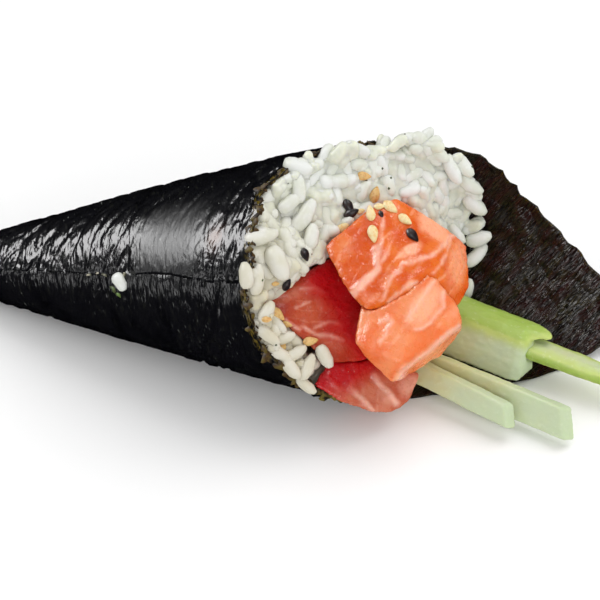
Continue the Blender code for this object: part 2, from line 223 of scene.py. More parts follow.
class Finish:
    """One material and the nodes that make it."""

    def __init__(self, name, **fixed):
        self.material = bpy.data.materials.new(name.replace("_", " "))
        self.material.use_nodes = True
        self.tree = self.material.node_tree
        self.shader = self.tree.nodes["Principled BSDF"]
        for socket, value in fixed.items():
            self.shader.inputs[socket.replace("_", " ")].default_value = value

    def node(self, kind, settings=None, inputs=None, output=0):
        """Add a node: its settings first, then the value or link of each input."""
        node = self.tree.nodes.new(kind)
        for name, value in (settings or {}).items():
            setattr(node, name, value)
        for key, value in (inputs or {}).items():
            self.connect(node.inputs[key], value)
        return Value(self, node.outputs[output])

    def connect(self, socket, value):
        """Link a value to a socket, or set the socket to a number, colour or vector."""
        if isinstance(value, Value):
            self.tree.links.new(value.socket, socket)
        elif socket.type == "RGBA" and len(value) == 3:
            socket.default_value = (*value, 1.0)
        else:
            socket.default_value = value

    def varies(self, socket, value):
        """Let a value that changes over the surface drive one of the shader's inputs."""
        self.connect(self.shader.inputs[socket], value)

    def coat(self, colour, roughness=None):
        """Give the surface a colour that varies over it and, if one is given, a roughness."""
        self.varies("Base Color", colour)
        if roughness is not None:
            self.varies("Roughness", roughness)

    def mix(self, share, first, second):
        """Colour that goes from the first to the second as the share goes from 0 to 1."""
        return self.node("ShaderNodeMix", {"data_type": "RGBA"}, {0: share, 6: first, 7: second}, 2)

    def attribute(self, name):
        """Number that the mesh holds at each of its points."""
        return self.node("ShaderNodeAttribute", {"attribute_name": name}, output="Fac")

    def stretch(self, vector, factors):
        return self.node("ShaderNodeVectorMath", {"operation": "MULTIPLY"}, {0: vector, 1: factors})

    def in_millimetres(self):
        """Object coordinates in millimetres."""
        place = self.node("ShaderNodeTexCoord", output="Object")
        return self.stretch(place, (1.0 / MM,) * 3)

    def on_sheet(self, along, around):
        """The sheet's own UV map in millimetres, times a factor along and one around."""
        place = self.node("ShaderNodeTexCoord", output="UV")
        return self.stretch(place, (MAP_UNIT * along, MAP_UNIT * around, 0.0))

    def noise(self, vector, size, detail=2.0, roughness=0.5, distortion=0.0):
        """Smooth noise from 0 to 1 whose lumps are about size apart."""
        return self.node("ShaderNodeTexNoise", None, {
            "Vector": vector, "Scale": 1.0 / size, "Detail": detail, "Roughness": roughness,
            "Distortion": distortion})

    def bump(self, height, depth, strength=1.0):
        """Relief from a height of 0 to 1, depth millimetres deep."""
        relief = self.node("ShaderNodeBump", None, {
            "Height": height, "Distance": depth * MM, "Strength": strength})
        self.varies("Normal", relief)


# ---------------------------------------------------------------- handling pieces

def only(*pieces):
    """Select these pieces and nothing else."""
    if bpy.context.object is not None and bpy.context.object.mode != "OBJECT":
        bpy.ops.object.mode_set(mode="OBJECT")
    bpy.ops.object.select_all(action="DESELECT")
    for piece in pieces:
        piece.select_set(True)
    bpy.context.view_layer.objects.active = pieces[0]


def edit(piece):
    """Go into edit mode with everything on the piece selected."""
    only(piece)
    bpy.ops.object.mode_set(mode="EDIT")
    bpy.ops.mesh.select_all(action="SELECT")


def leave_edit():
    """Go back to object mode."""
    bpy.ops.object.mode_set(mode="OBJECT")


def modify(piece, kind, **settings):
    """Add a modifier and apply it."""
    only(piece)
    modifier = piece.modifiers.new(kind.lower(), kind)
    for name, value in settings.items():
        setattr(modifier, name, value)
    bpy.ops.object.modifier_apply(modifier=modifier.name)


def remesh(piece, voxel):
    """Make the piece over again as one closed mesh with faces of this size."""
    modify(piece, "REMESH", mode="VOXEL", voxel_size=voxel, use_smooth_shade=True)


def new_piece(name):
    """The primitive that was just added, under its own name."""
    piece = bpy.context.object
    piece.name = name
    piece.data.name = name
    return piece


def new_ball(name, segments, rings, *half_sizes):
    """A ball with its poles along X and these half sizes along X, Y and Z."""
    bpy.ops.mesh.primitive_uv_sphere_add(segments=segments, ring_count=rings, radius=1.0)
    ball = new_piece(name)
    edit(ball)
    bpy.ops.transform.rotate(value=math.pi / 2.0, orient_axis="Y", center_override=(0.0, 0.0, 0.0))
    bpy.ops.transform.resize(value=half_sizes)
    leave_edit()
    return ball


def copy_solid(node, name):
    """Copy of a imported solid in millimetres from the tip, with its loose triangles merged."""
    piece = bpy.data.objects.new(name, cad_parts[node].data.copy())
    bpy.context.collection.objects.link(piece)
    piece.data.name = name
    piece.data.materials.clear()
    piece.data.transform(TO_TIP)
    edit(piece)
    bpy.ops.mesh.remove_doubles(threshold=0.002)
    leave_edit()
    return piece


def set_numbers(piece, name, numbers):
    """Give the mesh an attribute that holds one number for each of its points."""
    piece.data.attributes.new(name, "FLOAT", "POINT").data.foreach_set("value", numbers)


def number_each_point(piece, name, measure):
    """Give the mesh an attribute that holds measure(point) at each of its points."""
    set_numbers(piece, name, [measure(vertex.co) for vertex in piece.data.vertices])


def push_out(piece, height):
    """Move each point along its normal by height(point)."""
    normals = [item.vector.copy() for item in piece.data.vertex_normals]
    for vertex, normal in zip(piece.data.vertices, normals):
        vertex.co += normal * height(vertex.co)


def settle(piece, slot, finishes, *nodes):
    """Bring a finished piece into the frame: place, finish, body and the solids it stands for."""
    piece.data.transform(TO_ROW)
    piece.data.materials.clear()
    for finish in finishes:
        piece.data.materials.append(finish.material)
    piece.data.shade_smooth()
    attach(piece, BODY)
    if nodes:
        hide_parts(*nodes)


def tree_of(name, to_tip=TO_TIP):
    """Search tree of a piece by its name, brought to millimetres from the tip by the matrix."""
    mesh = bpy.data.objects[name].data
    points = [to_tip @ vertex.co for vertex in mesh.vertices]
    return BVHTree.FromPolygons(points, [tuple(face.vertices) for face in mesh.polygons])


def join_copies(name, bases, places):
    """Copy one of the small base meshes to each place and join the copies into one piece."""
    copies = []
    for number, (kind, place) in enumerate(places):
        part_name = name if number == 0 else name + "_part"
        copy = bpy.data.objects.new(part_name, bases[kind].data.copy())
        copy.data.transform(place)
        bpy.context.collection.objects.link(copy)
        copies.append(copy)
    only(*copies)
    bpy.ops.object.join()
    for base in bases:
        bpy.data.objects.remove(base)
    piece = copies[0]
    piece.data.name = name
    return piece


def seat(point, normal, heading, scale=1.0):
    """Matrix that stands a small mesh on a surface: +Z along the normal, +X towards heading."""
    up = normal.normalized()
    along = (heading - up * heading.dot(up)).normalized()
    turn = Matrix((along, up.cross(along), up)).transposed().to_4x4()
    return Matrix.Translation(point) @ turn @ Matrix.Scale(scale, 4)


# ---------------------------------------------------------------- the cone's shape

def limit(value):
    """The value, kept between 0 and 1."""
    return min(max(value, 0.0), 1.0)


def turn_between(a, b):
    """Smallest turn between two angles in degrees, 0 to 180."""
    return abs((a - b + 180.0) % 360.0 - 180.0)


def cone_radius(x):
    """Radius of the smooth cone at a distance from its tip; its sides bow out a little."""
    return CONE_SLOPE * x - CONE_CURVE * x * x


def crease_depth(x, turn):
    """Soft creases that run slantwise round the cone and fade out on its underside."""
    angle = math.radians(turn)
    wave = math.sin(x / 5.5 + 1.7 * math.sin(angle)) * math.cos(3.0 * angle + x / 17.0)
    return CREASE * wave * min(x / 30.0, 1.0) * (1.0 - math.cos(angle)) / 2.0


def edge_curl(x, turn):
    """How far the free edge has curled up from the floor."""
    place, spread, start, length, height = EDGE_CURL
    rise = limit((x - start) / length)
    return height * rise * math.exp(-(turn_between(turn, place) / spread) ** 4)


def cone_point(x, turn, inset):
    """Point at a distance inside the cone's smooth outer surface, shaved flat underneath."""
    angle = math.radians(turn)
    middle = cone_radius(x)
    radius = max(middle + crease_depth(x, turn) - inset, 0.0)
    height = middle - radius * math.cos(angle)
    height = max(height, REST_FLAT + max(inset, 0.0)) - REST_FLAT + edge_curl(x, turn)
    return Vector((x, radius * math.sin(angle), height))


def outward(x, turn):
    """Direction out of the cone's wall."""
    return (cone_point(x, turn, 0.0) - cone_point(x, turn, 1.0)).normalized()


def inside_by(point):
    """How far a point lies inside the cone's wall; past the wall's edge, a large number."""
    middle = cone_radius(point.x)
    rise = middle - REST_FLAT - point.z
    turn = math.degrees(math.atan2(point.y, rise))
    if point.x > sheet_reach(turn):
        return CORNER_FROM_TIP
    return middle - math.hypot(point.y, rise)


def sheet_reach(turn):
    """Distance from the tip at which the nori ends: short at the rim, long at the corner."""
    away = turn_between(turn, CORNER_TURN)
    fall = math.hypot(away, CORNER_ROUND) / CORNER_SPREAD
    reach = (CORNER_FROM_TIP - RIM_FROM_TIP) * max(0.0, 1.0 - fall) ** CORNER_POINT
    angle = math.radians(turn)
    fray = 0.6 * math.sin(5.0 * angle + 0.6) + 0.4 * math.sin(13.0 * angle)
    for place, spread, amount in EDGE_WAVES:
        reach += amount * math.exp(-(turn_between(turn, place) / spread) ** 2)
    return RIM_FROM_TIP + reach + EDGE_FRAY * fray


def mouth_frame():
    """Matrix of the mouth's own frame: right, up and out."""
    turn = Euler((math.radians(90.0 - MOUTH_TILT), 0.0, math.radians(MOUTH_TURN)), "XYZ")
    return Matrix.Translation(MOUTH_CENTRE) @ turn.to_matrix().to_4x4()


MOUTH = mouth_frame()
INTO_MOUTH = MOUTH.inverted()
RIGHT, UP, OUT = (Vector(column[:3]) for column in MOUTH.transposed()[:3])


def towards(heading):
    """Direction in the mouth's plane, turned by the heading in degrees from right towards up."""
    angle = math.radians(heading)
    return RIGHT * math.cos(angle) + UP * math.sin(angle)


def along_and_across(right, up, heading):
    """A place in the mouth's plane, measured along a heading in degrees and across it."""
    angle = math.radians(heading)
    return (right * math.cos(angle) + up * math.sin(angle),
            up * math.cos(angle) - right * math.sin(angle))


def land(right, up, trees):
    """First point met going into the mouth at (right, up), with its normal.  Past the outline,
    it is the nearest one towards the mouth's middle."""
    for pull in range(8):
        start = MOUTH @ Vector((right, up - 0.4 * pull * math.copysign(1.0, up), 80.0))
        met = [tree.ray_cast(start, -OUT) for tree in trees]
        met = [item for item in met if item[0] is not None]
        if met:
            hit, normal, _, _ = min(met, key=lambda item: item[3])
            return hit, normal
    return None, None


# ---------------------------------------------------------------- nori

SMOOTH_PATCH = (59.0, 6.5, -151.0, 25.0)   # place along, half length, turn, half turn
BRUISE = (68.0, 1.3, -147.0, 6.0)          # thin spot where light comes through, likewise
NEAR_RIM = (61.0, 7.0)                     # where the folds deepen, and over what length
FREE_FLAP = (82.0, 8.0)                    # where the flap leaves the filling, likewise
SLANT = (0.06, -140.0)                     # shift of the folds per degree, and where it is none


def in_patch(x, turn, patch, power):
    """How far inside a patch of the sheet a point is, 0 to 1."""
    along, half, place, spread = patch
    away = abs((x - along) / half) ** power + (turn_between(turn, place) / spread) ** power
    return math.exp(-away)


def past(x, place):
    """0 up to a distance from the tip, and a straight rise to 1 over a length past it."""
    start, length = place
    return limit((x - start) / length)


def ripple(x, turn, size, turns, seed):
    """Noise over the cone, whose lumps are size long and run turns degrees round it."""
    return noise.noise(Vector((x / size, turn / turns, seed)))


def crease(x, turn, size, turns, width, seed):
    """Depth of a net of narrow valleys, 0 to 1, that run slantwise round the cone."""
    shift, level = SLANT
    slanted = x + shift * (turn - level)
    return max(0.0, 1.0 - abs(ripple(slanted, turn, size, turns, seed)) / width)


def sheet_folds(x, turn, depth):
    """Height of the sheet over the smooth cone: valleys round the cone with a calm patch on its
    front, and on the flap that stands free of the filling an all-over crumple."""
    uneven = 0.30 + 1.1 * max(0.0, 0.35 + ripple(x, turn, 9.0, 40.0, 5.0))
    near_rim = past(x, NEAR_RIM)
    uneven *= 1.0 + 0.7 * near_rim
    valleys = crease(x, turn, 3.6, 62.0, 0.12, 2.0) + 0.55 * crease(x, turn, 1.9, 26.0, 0.14, 7.0)
    small = 0.20 * ripple(x, turn, 1.4, 13.0, 6.0)
    small += 0.14 * ripple(x, turn, 0.8, 6.0, 3.0)
    calm = 1.0 - 0.88 * in_patch(x, turn, SMOOTH_PATCH, 4)
    height = 0.15 + 0.30 * ripple(x, turn, 7.0, 30.0, 8.0)
    height += calm * (small * (1.0 + near_rim) - uneven * valleys)
    free = past(x, FREE_FLAP)
    crumple = 3.0 * abs(ripple(x, turn, 5.2, 11.0, 3.0))
    crumple += 1.7 * ripple(x, turn, 2.8, 6.0, 1.0)
    crumple += 0.9 * ripple(x, turn, 1.7, 3.6, 1.0) - 0.7
    height = height * (1.0 - 0.6 * free) + free * crumple
    flat = min((1.0 - math.cos(math.radians(turn))) / 0.2, 1.0)
    return depth * min(x / 25.0, 1.0) * flat * height


def ridges(value):
    """Turn smooth noise into sharp ridges that run where it crosses its middle."""
    return 1.0 - abs(value * 2.0 - 1.0)


def nori_outside_finish(look):
    """Near black and glossy, with fine creases, pale grains and a thin brown edge."""
    finish = Finish("nori outside", Specular_IOR_Level=0.5)
    round_it = finish.on_sheet(1.0, 0.30)
    creases = ridges(finish.noise(round_it, 2.0, 1.5, 0.5, 0.9))
    fibre = finish.noise(finish.on_sheet(1.0, 0.5), 0.9, 1.0, 0.5, 0.6)
    grain = finish.noise(finish.on_sheet(1.0, 0.8), 0.6, 1.0)
    patches = finish.noise(finish.on_sheet(1.0, 0.6), 7.0, 3.0, 0.55, 0.4)
    rough = 1.0 - finish.attribute("calm") * 0.85
    edge = finish.attribute("edge")
    colour = finish.mix(patches.step(0.45, 0.3), look.outside, srgb(6, 6, 10))
    colour = finish.mix(fibre.step(0.58, 0.74) * 0.5 * rough, colour, srgb(36, 37, 32))
    colour = finish.mix(grain.step(0.68, 0.76) * patches.step(0.42, 0.58) * 0.6, colour,
                        srgb(112, 116, 110))
    colour = finish.mix(finish.attribute("bruise") * (0.4 + fibre), colour, srgb(84, 44, 12))
    thin = edge.step(1.5, 0.1) * grain.step(0.44, 0.60)
    colour = finish.mix(thin, colour, look.edge)
    finish.coat(colour, 0.30 - creases * rough * 0.10 + finish.attribute("calm") * 0.10)
    finish.bump((creases * 0.6 + fibre * 0.4) * rough + fibre * 0.15, 0.30)
    return finish


def nori_inside_finish(look):
    """Dark brown and lumpy, with painted shade in its hollows, veins and glinting specks."""
    finish = Finish("nori inside", Specular_IOR_Level=0.4)
    lumps = finish.noise(finish.on_sheet(0.8, 1.3), 2.1, 1.0, 0.5, 1.4)
    vein = ridges(finish.noise(finish.on_sheet(0.7, 1.3), 1.6, 1.5, 0.5, 1.2))
    speck = finish.noise(finish.on_sheet(0.7, 1.2), 0.8, 1.0, 0.5, 0.6)
    patches = finish.noise(finish.on_sheet(1.0, 1.0), 5.0)
    edge = finish.attribute("edge")
    colour = finish.mix(patches.step(0.38, 0.62), look.inside, srgb(44, 14, 12))
    # Painted shade: near black in the hollows of the lumps.
    colour = finish.mix(lumps.step(0.52, 0.40) * 0.7, colour, srgb(3, 3, 4))
    colour = finish.mix(vein.step(0.90, 0.99) * patches.step(0.60, 0.42) * 0.6, colour,
                        srgb(66, 58, 32))
    colour = finish.mix(speck.step(0.68, 0.76) * 0.5, colour, srgb(104, 92, 72))
    colour = finish.mix(edge.step(0.9, 0.0) * speck.step(0.54, 0.66) * 0.7, colour, look.edge)
    finish.coat(colour, 0.32 - speck.step(0.50, 0.62) * 0.22)
    finish.bump(lumps * 0.7 + vein * 0.3, 1.0)
    return finish


def nori_edge_finish(look):
    """The sheet's cut edge, where light comes through in places."""
    finish = Finish("nori cut edge", Specular_IOR_Level=0.4)
    grain = finish.noise(finish.in_millimetres(), 0.7, 3.0, 0.6)
    colour = finish.mix(grain.step(0.50, 0.72) * 0.7, srgb(20, 16, 12), look.edge)
    finish.coat(colour, 0.4 + grain * 0.2)
    return finish


class TEMAKI_OT_nori(bpy.types.Operator):
    """Roll the nori sheet into its cone, with its seam, creases and ragged edge."""
    bl_idname = "temaki.nori"
    bl_label = "Nori"

    columns = 196
    rows = 232
    map_slope = 0.28          # radius that the UV map takes the cone to have, per distance
    map_start = 12.0          # distance below which that radius stays the same
    row_spread = 0.92         # below 1, the rows of points lie closer towards the far edge
    tucked = (2.0, 0.3)       # how much shorter and deeper the sheet's start lies under its end

    def execute(self, context):
        look = context.scene.temaki_nori
        bpy.ops.object.select_all(action="DESELECT")
        bpy.ops.mesh.primitive_grid_add(x_subdivisions=self.columns, y_subdivisions=self.rows,
                                        size=1.0)
        sheet = new_piece("nori_rolled_sheet")
        flat = [(0.5 - vertex.co.x, vertex.co.y + 0.5) for vertex in sheet.data.vertices]
        rolled = [self.roll(around, along, look) for around, along in flat]
        set_numbers(sheet, "edge", [reach - x for _, x, _, reach in rolled])
        for name, patch, power in (("calm", SMOOTH_PATCH, 4), ("bruise", BRUISE, 2)):
            set_numbers(sheet, name, [in_patch(x, turn, patch, power) for _, x, turn, _ in rolled])
        own_map = sheet.data.uv_layers.active.data
        for loop in sheet.data.loops:
            _, x, turn, _ = rolled[loop.vertex_index]
            round_it = math.radians(turn) * max(x, self.map_start) * self.map_slope
            own_map[loop.index].uv = (x / MAP_UNIT, round_it / MAP_UNIT)
        for vertex, (point, _, _, _) in zip(sheet.data.vertices, rolled):
            vertex.co = point
        finishes = [nori_outside_finish(look), nori_inside_finish(look), nori_edge_finish(look)]
        for finish in finishes:
            sheet.data.materials.append(finish.material)
        wall = sheet.vertex_groups.new(name="wall")
        for vertex in sheet.data.vertices:
            share = 0.5 * cone_radius(vertex.co.x) * MM / look.wall
            wall.add([vertex.index], min(1.0, share), "ADD")
        modify(sheet, "SOLIDIFY", thickness=look.wall / MM, offset=-1.0, vertex_group="wall",
               use_rim=True, material_offset=1, material_offset_rim=2)
        slots = [face.material_index for face in sheet.data.polygons]
        settle(sheet, "nori", finishes, "nori_sheet")
        sheet.data.polygons.foreach_set("material_index", slots)
        return {"FINISHED"}

    def roll(self, around, along, look):
        """Point of the sheet with its distance from the tip, its turn and its column's reach."""
        x_guess = CORNER_FROM_TIP * 0.55 * along
        wander = 4.0 * noise.noise(Vector((x_guess / 13.0, 0.0, 3.0))) * (1.0 - around) ** 3
        turn = SEAM_TURN + wander - (360.0 + SEAM_OVERLAP) * around
        under = max(0.0, around * (360.0 + SEAM_OVERLAP) - 360.0) / SEAM_OVERLAP
        ragged = 0.9 * noise.noise(Vector((turn / 4.5, 1.0, 0.0)))
        ragged += 0.8 * noise.noise(Vector((turn / 1.9, 5.0, 0.0)))
        shorter, deeper = self.tucked
        reach = sheet_reach(turn) + look.fray / MM * ragged - shorter * min(under * 4.0, 1.0)
        x = SHEET_START + (reach - SHEET_START) * along ** self.row_spread
        depth = look.fold / MM
        inset = SHEET_LAYER * around * min(x / 20.0, 1.0) - sheet_folds(x, turn, depth)
        curl = max(0.0, 1.0 - (reach - x) / 3.0) ** 2
        inset += 0.35 * curl * noise.noise(Vector((turn / 5.0, x / 4.0, 9.0)))
        inset += deeper * min(under * 3.0, 1.0)
        return cone_point(x, turn, inset), x, turn, reach


# ---------------------------------------------------------------- salmon

def flesh_layers(point, heading, spacing, curve):
    """Number of muscle layers passed on the way to a point: whole numbers fall on the fat."""
    right, up, out = INTO_MOUTH @ point
    along, across = along_and_across(right, up, heading)
    bent = across + 0.45 * out + curve * along * along
    bent += 2.1 * noise.noise(point / 9.0)
    bent += 0.7 * noise.noise(point / 3.2 + Vector((4.0, 0.0, 9.0)))
    return bent / spacing


def fat_ridge(layers):
    """1 on a line of fat and 0 between two of them."""
    return max(0.0, 1.0 - 6.0 * abs(layers - round(layers)))


def roundness(piece):
    """How strongly the surface turns outwards at each point, evened out over its neighbours."""
    mesh = piece.data
    bulge = [0.0] * len(mesh.vertices)
    shares = [0] * len(mesh.vertices)
    normals = [item.vector.copy() for item in mesh.vertex_normals]
    for edge in mesh.edges:
        a, b = edge.vertices
        span = mesh.vertices[b].co - mesh.vertices[a].co
        length = span.length or 1.0
        bulge[a] -= normals[a].dot(span) / length
        bulge[b] += normals[b].dot(span) / length
        shares[a] += 1
        shares[b] += 1
    bulge = [value / max(share, 1) for value, share in zip(bulge, shares)]
    for _ in range(3):
        total = list(bulge)
        for edge in mesh.edges:
            a, b = edge.vertices
            total[a] += bulge[b]
            total[b] += bulge[a]
        bulge = [value / (1 + share) for value, share in zip(total, shares)]
    return bulge


def salmon_finish(name, look, flesh, pale, fat):
    """Flesh with clouds and lines of fat, a painted highlight along its ridges, and deep red
    painted shade where it lies in shadow under the other chunks.
    """
    finish = Finish(name, Subsurface_Weight=0.3, Subsurface_Scale=0.0016,
                    Subsurface_Radius=(1.0, 0.35, 0.12), Specular_IOR_Level=0.5)
    place = finish.in_millimetres()
    cloud = finish.noise(place, 5.0)
    fibre = finish.noise(place, 1.1, 3.0, 0.6, 0.4)
    speck = finish.noise(place, 0.5, 2.0, 0.6)
    layers = finish.attribute("layers")
    between = abs((layers + 0.5).fraction() - 0.5)
    faint = between.step(0.11, 0.02) * cloud.step(0.40, 0.62) * fibre.step(0.30, 0.55)
    line = (finish.attribute("fat") + (fibre - 0.5) * 1.1 + (cloud - 0.5) * 0.8).step(0.62, -0.40)
    halo = (finish.attribute("fat") + (cloud - 0.5) * 1.2).step(1.1, -0.2) * 0.35
    patch = finish.attribute("patch") * (0.55 + fibre * 0.9)
    # Painted highlight: the flesh is paler along the ridges where it turns outwards.
    edge = finish.attribute("ridge_highlight").step(0.10, 0.30) * (0.35 + fibre * 0.8)
    body = finish.mix(cloud.step(0.34, 0.66), flesh, pale)
    body = finish.mix(halo, body, pale)
    body = finish.mix(patch.step(0.15, 0.95) * 0.85, body, fat)
    body = finish.mix(edge * 0.55, body, fat)
    body = finish.mix(faint * 0.45, body, fat)
    body = finish.mix(line * 0.62, body, look.fat)
    # Painted shade: deep red where the chunk lies in shadow under the chunks above it.
    body = finish.mix(finish.attribute("shade_red"), body, look.shade_red)
    body = finish.mix(speck.step(0.70, 0.76) * 0.35, body, look.fat)
    finish.coat(body, 0.16 + fibre * 0.26)
    finish.bump(fibre * 0.5 + speck * 0.4 + line * 0.25, 0.24, 0.8)
    return finish


# Each chunk, in the mouth's plane: the heading of its layers, their spacing and curve; the line
# (right, up, level, width) past which it is painted deep red as shade, on its side towards the
# chunks above it; its lines of fat as half a width and the points (right, up) they run through;
# its pale patches as right, up, half length, half width, heading and strength.
CHUNKS = {
    "salmon_top": {
        "slot": "salmon", "layers": (50.0, 4.2, 0.012), "shade_red": None,
        "fat": (
            (0.42, ((2.6, -7.3), (6.3, -3.6), (8.0, -2.2), (8.0, 1.5))),
            (0.12, ((8.0, 1.5), (8.7, 3.2), (8.9, 6.9))),
            (0.22, ((8.7, -7.4), (10.4, -3.5), (12.6, -1.2), (17.3, 0.4), (19.7, 2.4),
                    (22.1, 4.5))),
            (0.12, ((8.7, -0.6), (10.0, 1.7))),
            (0.15, ((9.7, -7.8), (12.6, -5.4), (14.9, -4.3))),
            (0.10, ((17.9, -2.8), (19.5, -0.7), (21.4, 3.9))),
        ),
        "patches": (
            (18.0, 5.6, 4.4, 2.2, -45.0, 1.0), (2.2, 1.6, 3.0, 2.2, 60.0, 0.4),
            (6.3, -3.6, 3.0, 0.9, 45.0, 0.7), (13.6, 1.1, 2.6, 1.0, 28.0, 0.9),
            (13.7, -4.8, 1.4, 0.9, 60.0, 0.8), (22.2, -1.0, 6.0, 2.4, 80.0, 0.65),
        ),
    },
    "salmon_front": {
        "slot": "salmon", "layers": (44.0, 5.6, -0.012), "shade_red": None,
        "fat": (
            (0.34, ((22.1, -12.1), (19.3, -14.3), (16.7, -16.6), (12.6, -19.5), (11.7, -22.7))),
            (0.16, ((8.6, -11.3), (9.9, -10.8), (10.6, -11.5), (9.7, -12.6), (9.1, -13.6),
                    (8.4, -14.8))),
            (0.12, ((19.3, -6.0), (19.5, -8.7), (17.3, -11.5), (14.5, -12.6))),
            (0.10, ((18.0, -4.0), (15.2, -7.6), (13.4, -10.6))),
        ),
        "patches": (
            (16.2, -8.4, 4.8, 2.6, 55.0, 1.0), (6.9, -15.4, 3.0, 1.2, 100.0, 0.35),
            (9.4, -17.6, 2.4, 1.6, 30.0, 0.3), (11.4, -21.6, 2.4, 1.0, 80.0, 0.7),
            (21.4, -9.6, 2.6, 1.2, 60.0, 0.5),
        ),
    },
    # The inner and low chunks share the salmon_deep slot; their shaded side is painted deep red as
    # shade.
    "salmon_inner": {
        "slot": "salmon_deep", "layers": (-14.0, 1.9, 0.02), "shade_red": (0.86, 0.50, -6.2, 5.5),
        "fat": (
            (0.05, ((-5.6, -5.5), (-2.8, -5.4), (-1.1, -6.1))),
            (0.04, ((-6.1, -8.9), (-4.3, -8.0))),
            (0.10, ((-3.3, -12.1), (-0.2, -11.5), (3.0, -11.7))),
            (0.06, ((-5.4, -12.1), (-2.8, -13.4), (1.9, -14.6))),
            (0.06, ((-8.6, -11.0), (-5.8, -12.5))),
        ),
        "patches": ((-7.4, -6.6, 4.6, 1.3, 24.0, 0.6), (0.4, -15.4, 3.4, 1.6, -20.0, 0.5)),
    },
    "salmon_low": {
        "slot": "salmon_deep", "layers": (-58.0, 3.2, 0.01), "shade_red": (-0.36, 0.93, -22.4, 4.6),
        "fat": (
            (0.26, ((3.3, -21.2), (3.3, -22.7), (4.8, -24.9), (7.1, -26.8), (8.4, -28.1))),
            (0.22, ((7.3, -20.5), (8.9, -22.7), (10.4, -24.6), (11.5, -25.9))),
            (0.08, ((-0.4, -20.8), (1.1, -23.6))),
        ),
        "patches": ((13.6, -22.6, 2.8, 2.0, 60.0, 0.8), (9.6, -24.6, 2.6, 1.0, -50.0, 0.6)),
    },
}


def along_lines(place, lines):
    """Distance in the mouth's plane from a point to the nearest line, less half its width."""
    nearest = 9.0
    here = Vector((place.x, place.y))
    for half, points in lines:
        for first, second in zip(points, points[1:]):
            start, span = Vector(first), Vector(second) - Vector(first)
            share = limit((here - start).dot(span) / span.length_squared)
            nearest = min(nearest, (here - start - span * share).length - half)
    return nearest


def in_patches(place, patches):
    """How far a point lies inside the pale patches, 0 to 1."""
    found = 0.0
    for right, up, length, width, heading, strength in patches:
        along, across = along_and_across(*Vector((place.x - right, place.y - up)), heading)
        away = (along / length) ** 2 + (across / width) ** 2
        found = max(found, strength * math.exp(-away ** 1.5))
    return found


class TEMAKI_OT_salmon(bpy.types.Operator):
    """Make the four chunks of salmon, with their layers and lines of fat."""
    bl_idname = "temaki.salmon"
    bl_label = "Salmon"

    voxel = 0.34
    groove = 0.14
    swell = 0.16              # how far the flesh swells into the solids' clearance

    def execute(self, context):
        look = context.scene.temaki_salmon
        # Each chunk's flesh, its paler flesh and its fat; the inner chunk's are darker, painted
        # shade for the chunk that lies in shadow under the top one.
        flesh = {
            "salmon_top": (look.flesh, look.flesh_pale, look.fat_pink),
            "salmon_front": (srgb(234, 112, 54), srgb(240, 142, 90), look.fat_pink),
            "salmon_inner": (srgb(170, 52, 26), srgb(190, 82, 50), srgb(214, 128, 100)),
            "salmon_low": (srgb(188, 86, 56), srgb(204, 120, 92), srgb(222, 156, 132)),
        }
        for node, chunk in CHUNKS.items():
            piece = copy_solid(node, node + "_flesh")
            remesh(piece, self.voxel)
            modify(piece, "SMOOTH", factor=0.5, iterations=2)
            push_out(piece, lambda point: self.relief(point, chunk))
            measures = {
                "layers": lambda point: flesh_layers(point, *chunk["layers"]),
                "shade_red": lambda point: self.depth(point, chunk["shade_red"]),
                "fat": lambda point: along_lines(self.wobbled(point), chunk["fat"]),
                "patch": lambda point: in_patches(self.wobbled(point), chunk["patches"]),
            }
            for name, measure in measures.items():
                number_each_point(piece, name, measure)
            # Where the flesh turns outwards, for the painted highlight on its ridges.
            set_numbers(piece, "ridge_highlight", roundness(piece))
            finish = salmon_finish(node, look, *flesh[node])
            settle(piece, chunk["slot"], [finish], node)
        return {"FINISHED"}

    def relief(self, point, chunk):
        """Height of the flesh: swollen, uneven, and grooved between its layers."""
        rough = 0.20 * noise.noise(point / 3.4) + 0.12 * noise.noise(point / 1.2)
        line = max(0.0, 1.0 - max(along_lines(self.wobbled(point), chunk["fat"]), 0.0) / 0.7)
        between = fat_ridge(flesh_layers(point, *chunk["layers"]))
        return self.swell + rough - self.groove * (0.5 * between - line)

    @staticmethod
    def wobbled(point):
        """The point in the mouth's frame, moved a little so that drawn lines run unevenly."""
        across = noise.noise(point / 2.6)
        along = noise.noise(point / 2.6 + Vector((7.0, 3.0, 1.0)))
        return INTO_MOUTH @ point + 0.45 * Vector((across, along, 0.0))

    @staticmethod
    def depth(point, line):
        """How much of the deep red painted shade the flesh has, 0 to 1."""
        if line is None:
            return 0.0
        right, up, level, width = line
        place = INTO_MOUTH @ point
        beyond = (place.x * right + place.y * up - level) / width
        share = limit(0.5 + beyond + 0.3 * noise.noise(point / 4.0))
        return share * share * (3.0 - 2.0 * share)


# ---------------------------------------------------------------- cucumber

# Each piece's axis from the tip, and how far it is rolled with its front face upwards.
STICKS = {
    "cucumber_stick_short": {"start": (86.0, -0.1, 6.8), "end": (122.6, -10.9, 4.6), "roll": 28.0},
    "cucumber_stick_long": {"start": (90.0, 1.3, 4.3), "end": (132.8, -9.4, 4.1), "roll": 30.0},
    "cucumber_wedge": {"start": (92.0, 12.0, 4.9), "end": (124.0, 5.9, 3.3), "roll": 0.0},
    "cucumber_tip_slice": {"start": (123.8, 6.25, 5.0), "end": (144.2, 1.9, 4.8), "roll": 15.0},
}
WEDGE_RADIUS = 5.9
WEDGE_ARC = 110.0         # where the skin meets the flat cut face
WEDGE_FOOT = -15.0        # turn below which a point is past the wedge's corner
SLICE_HALF = 2.9
SLICE_TAPER = (26.0, 0.02)  # length in which the slice comes to a point, and its lean
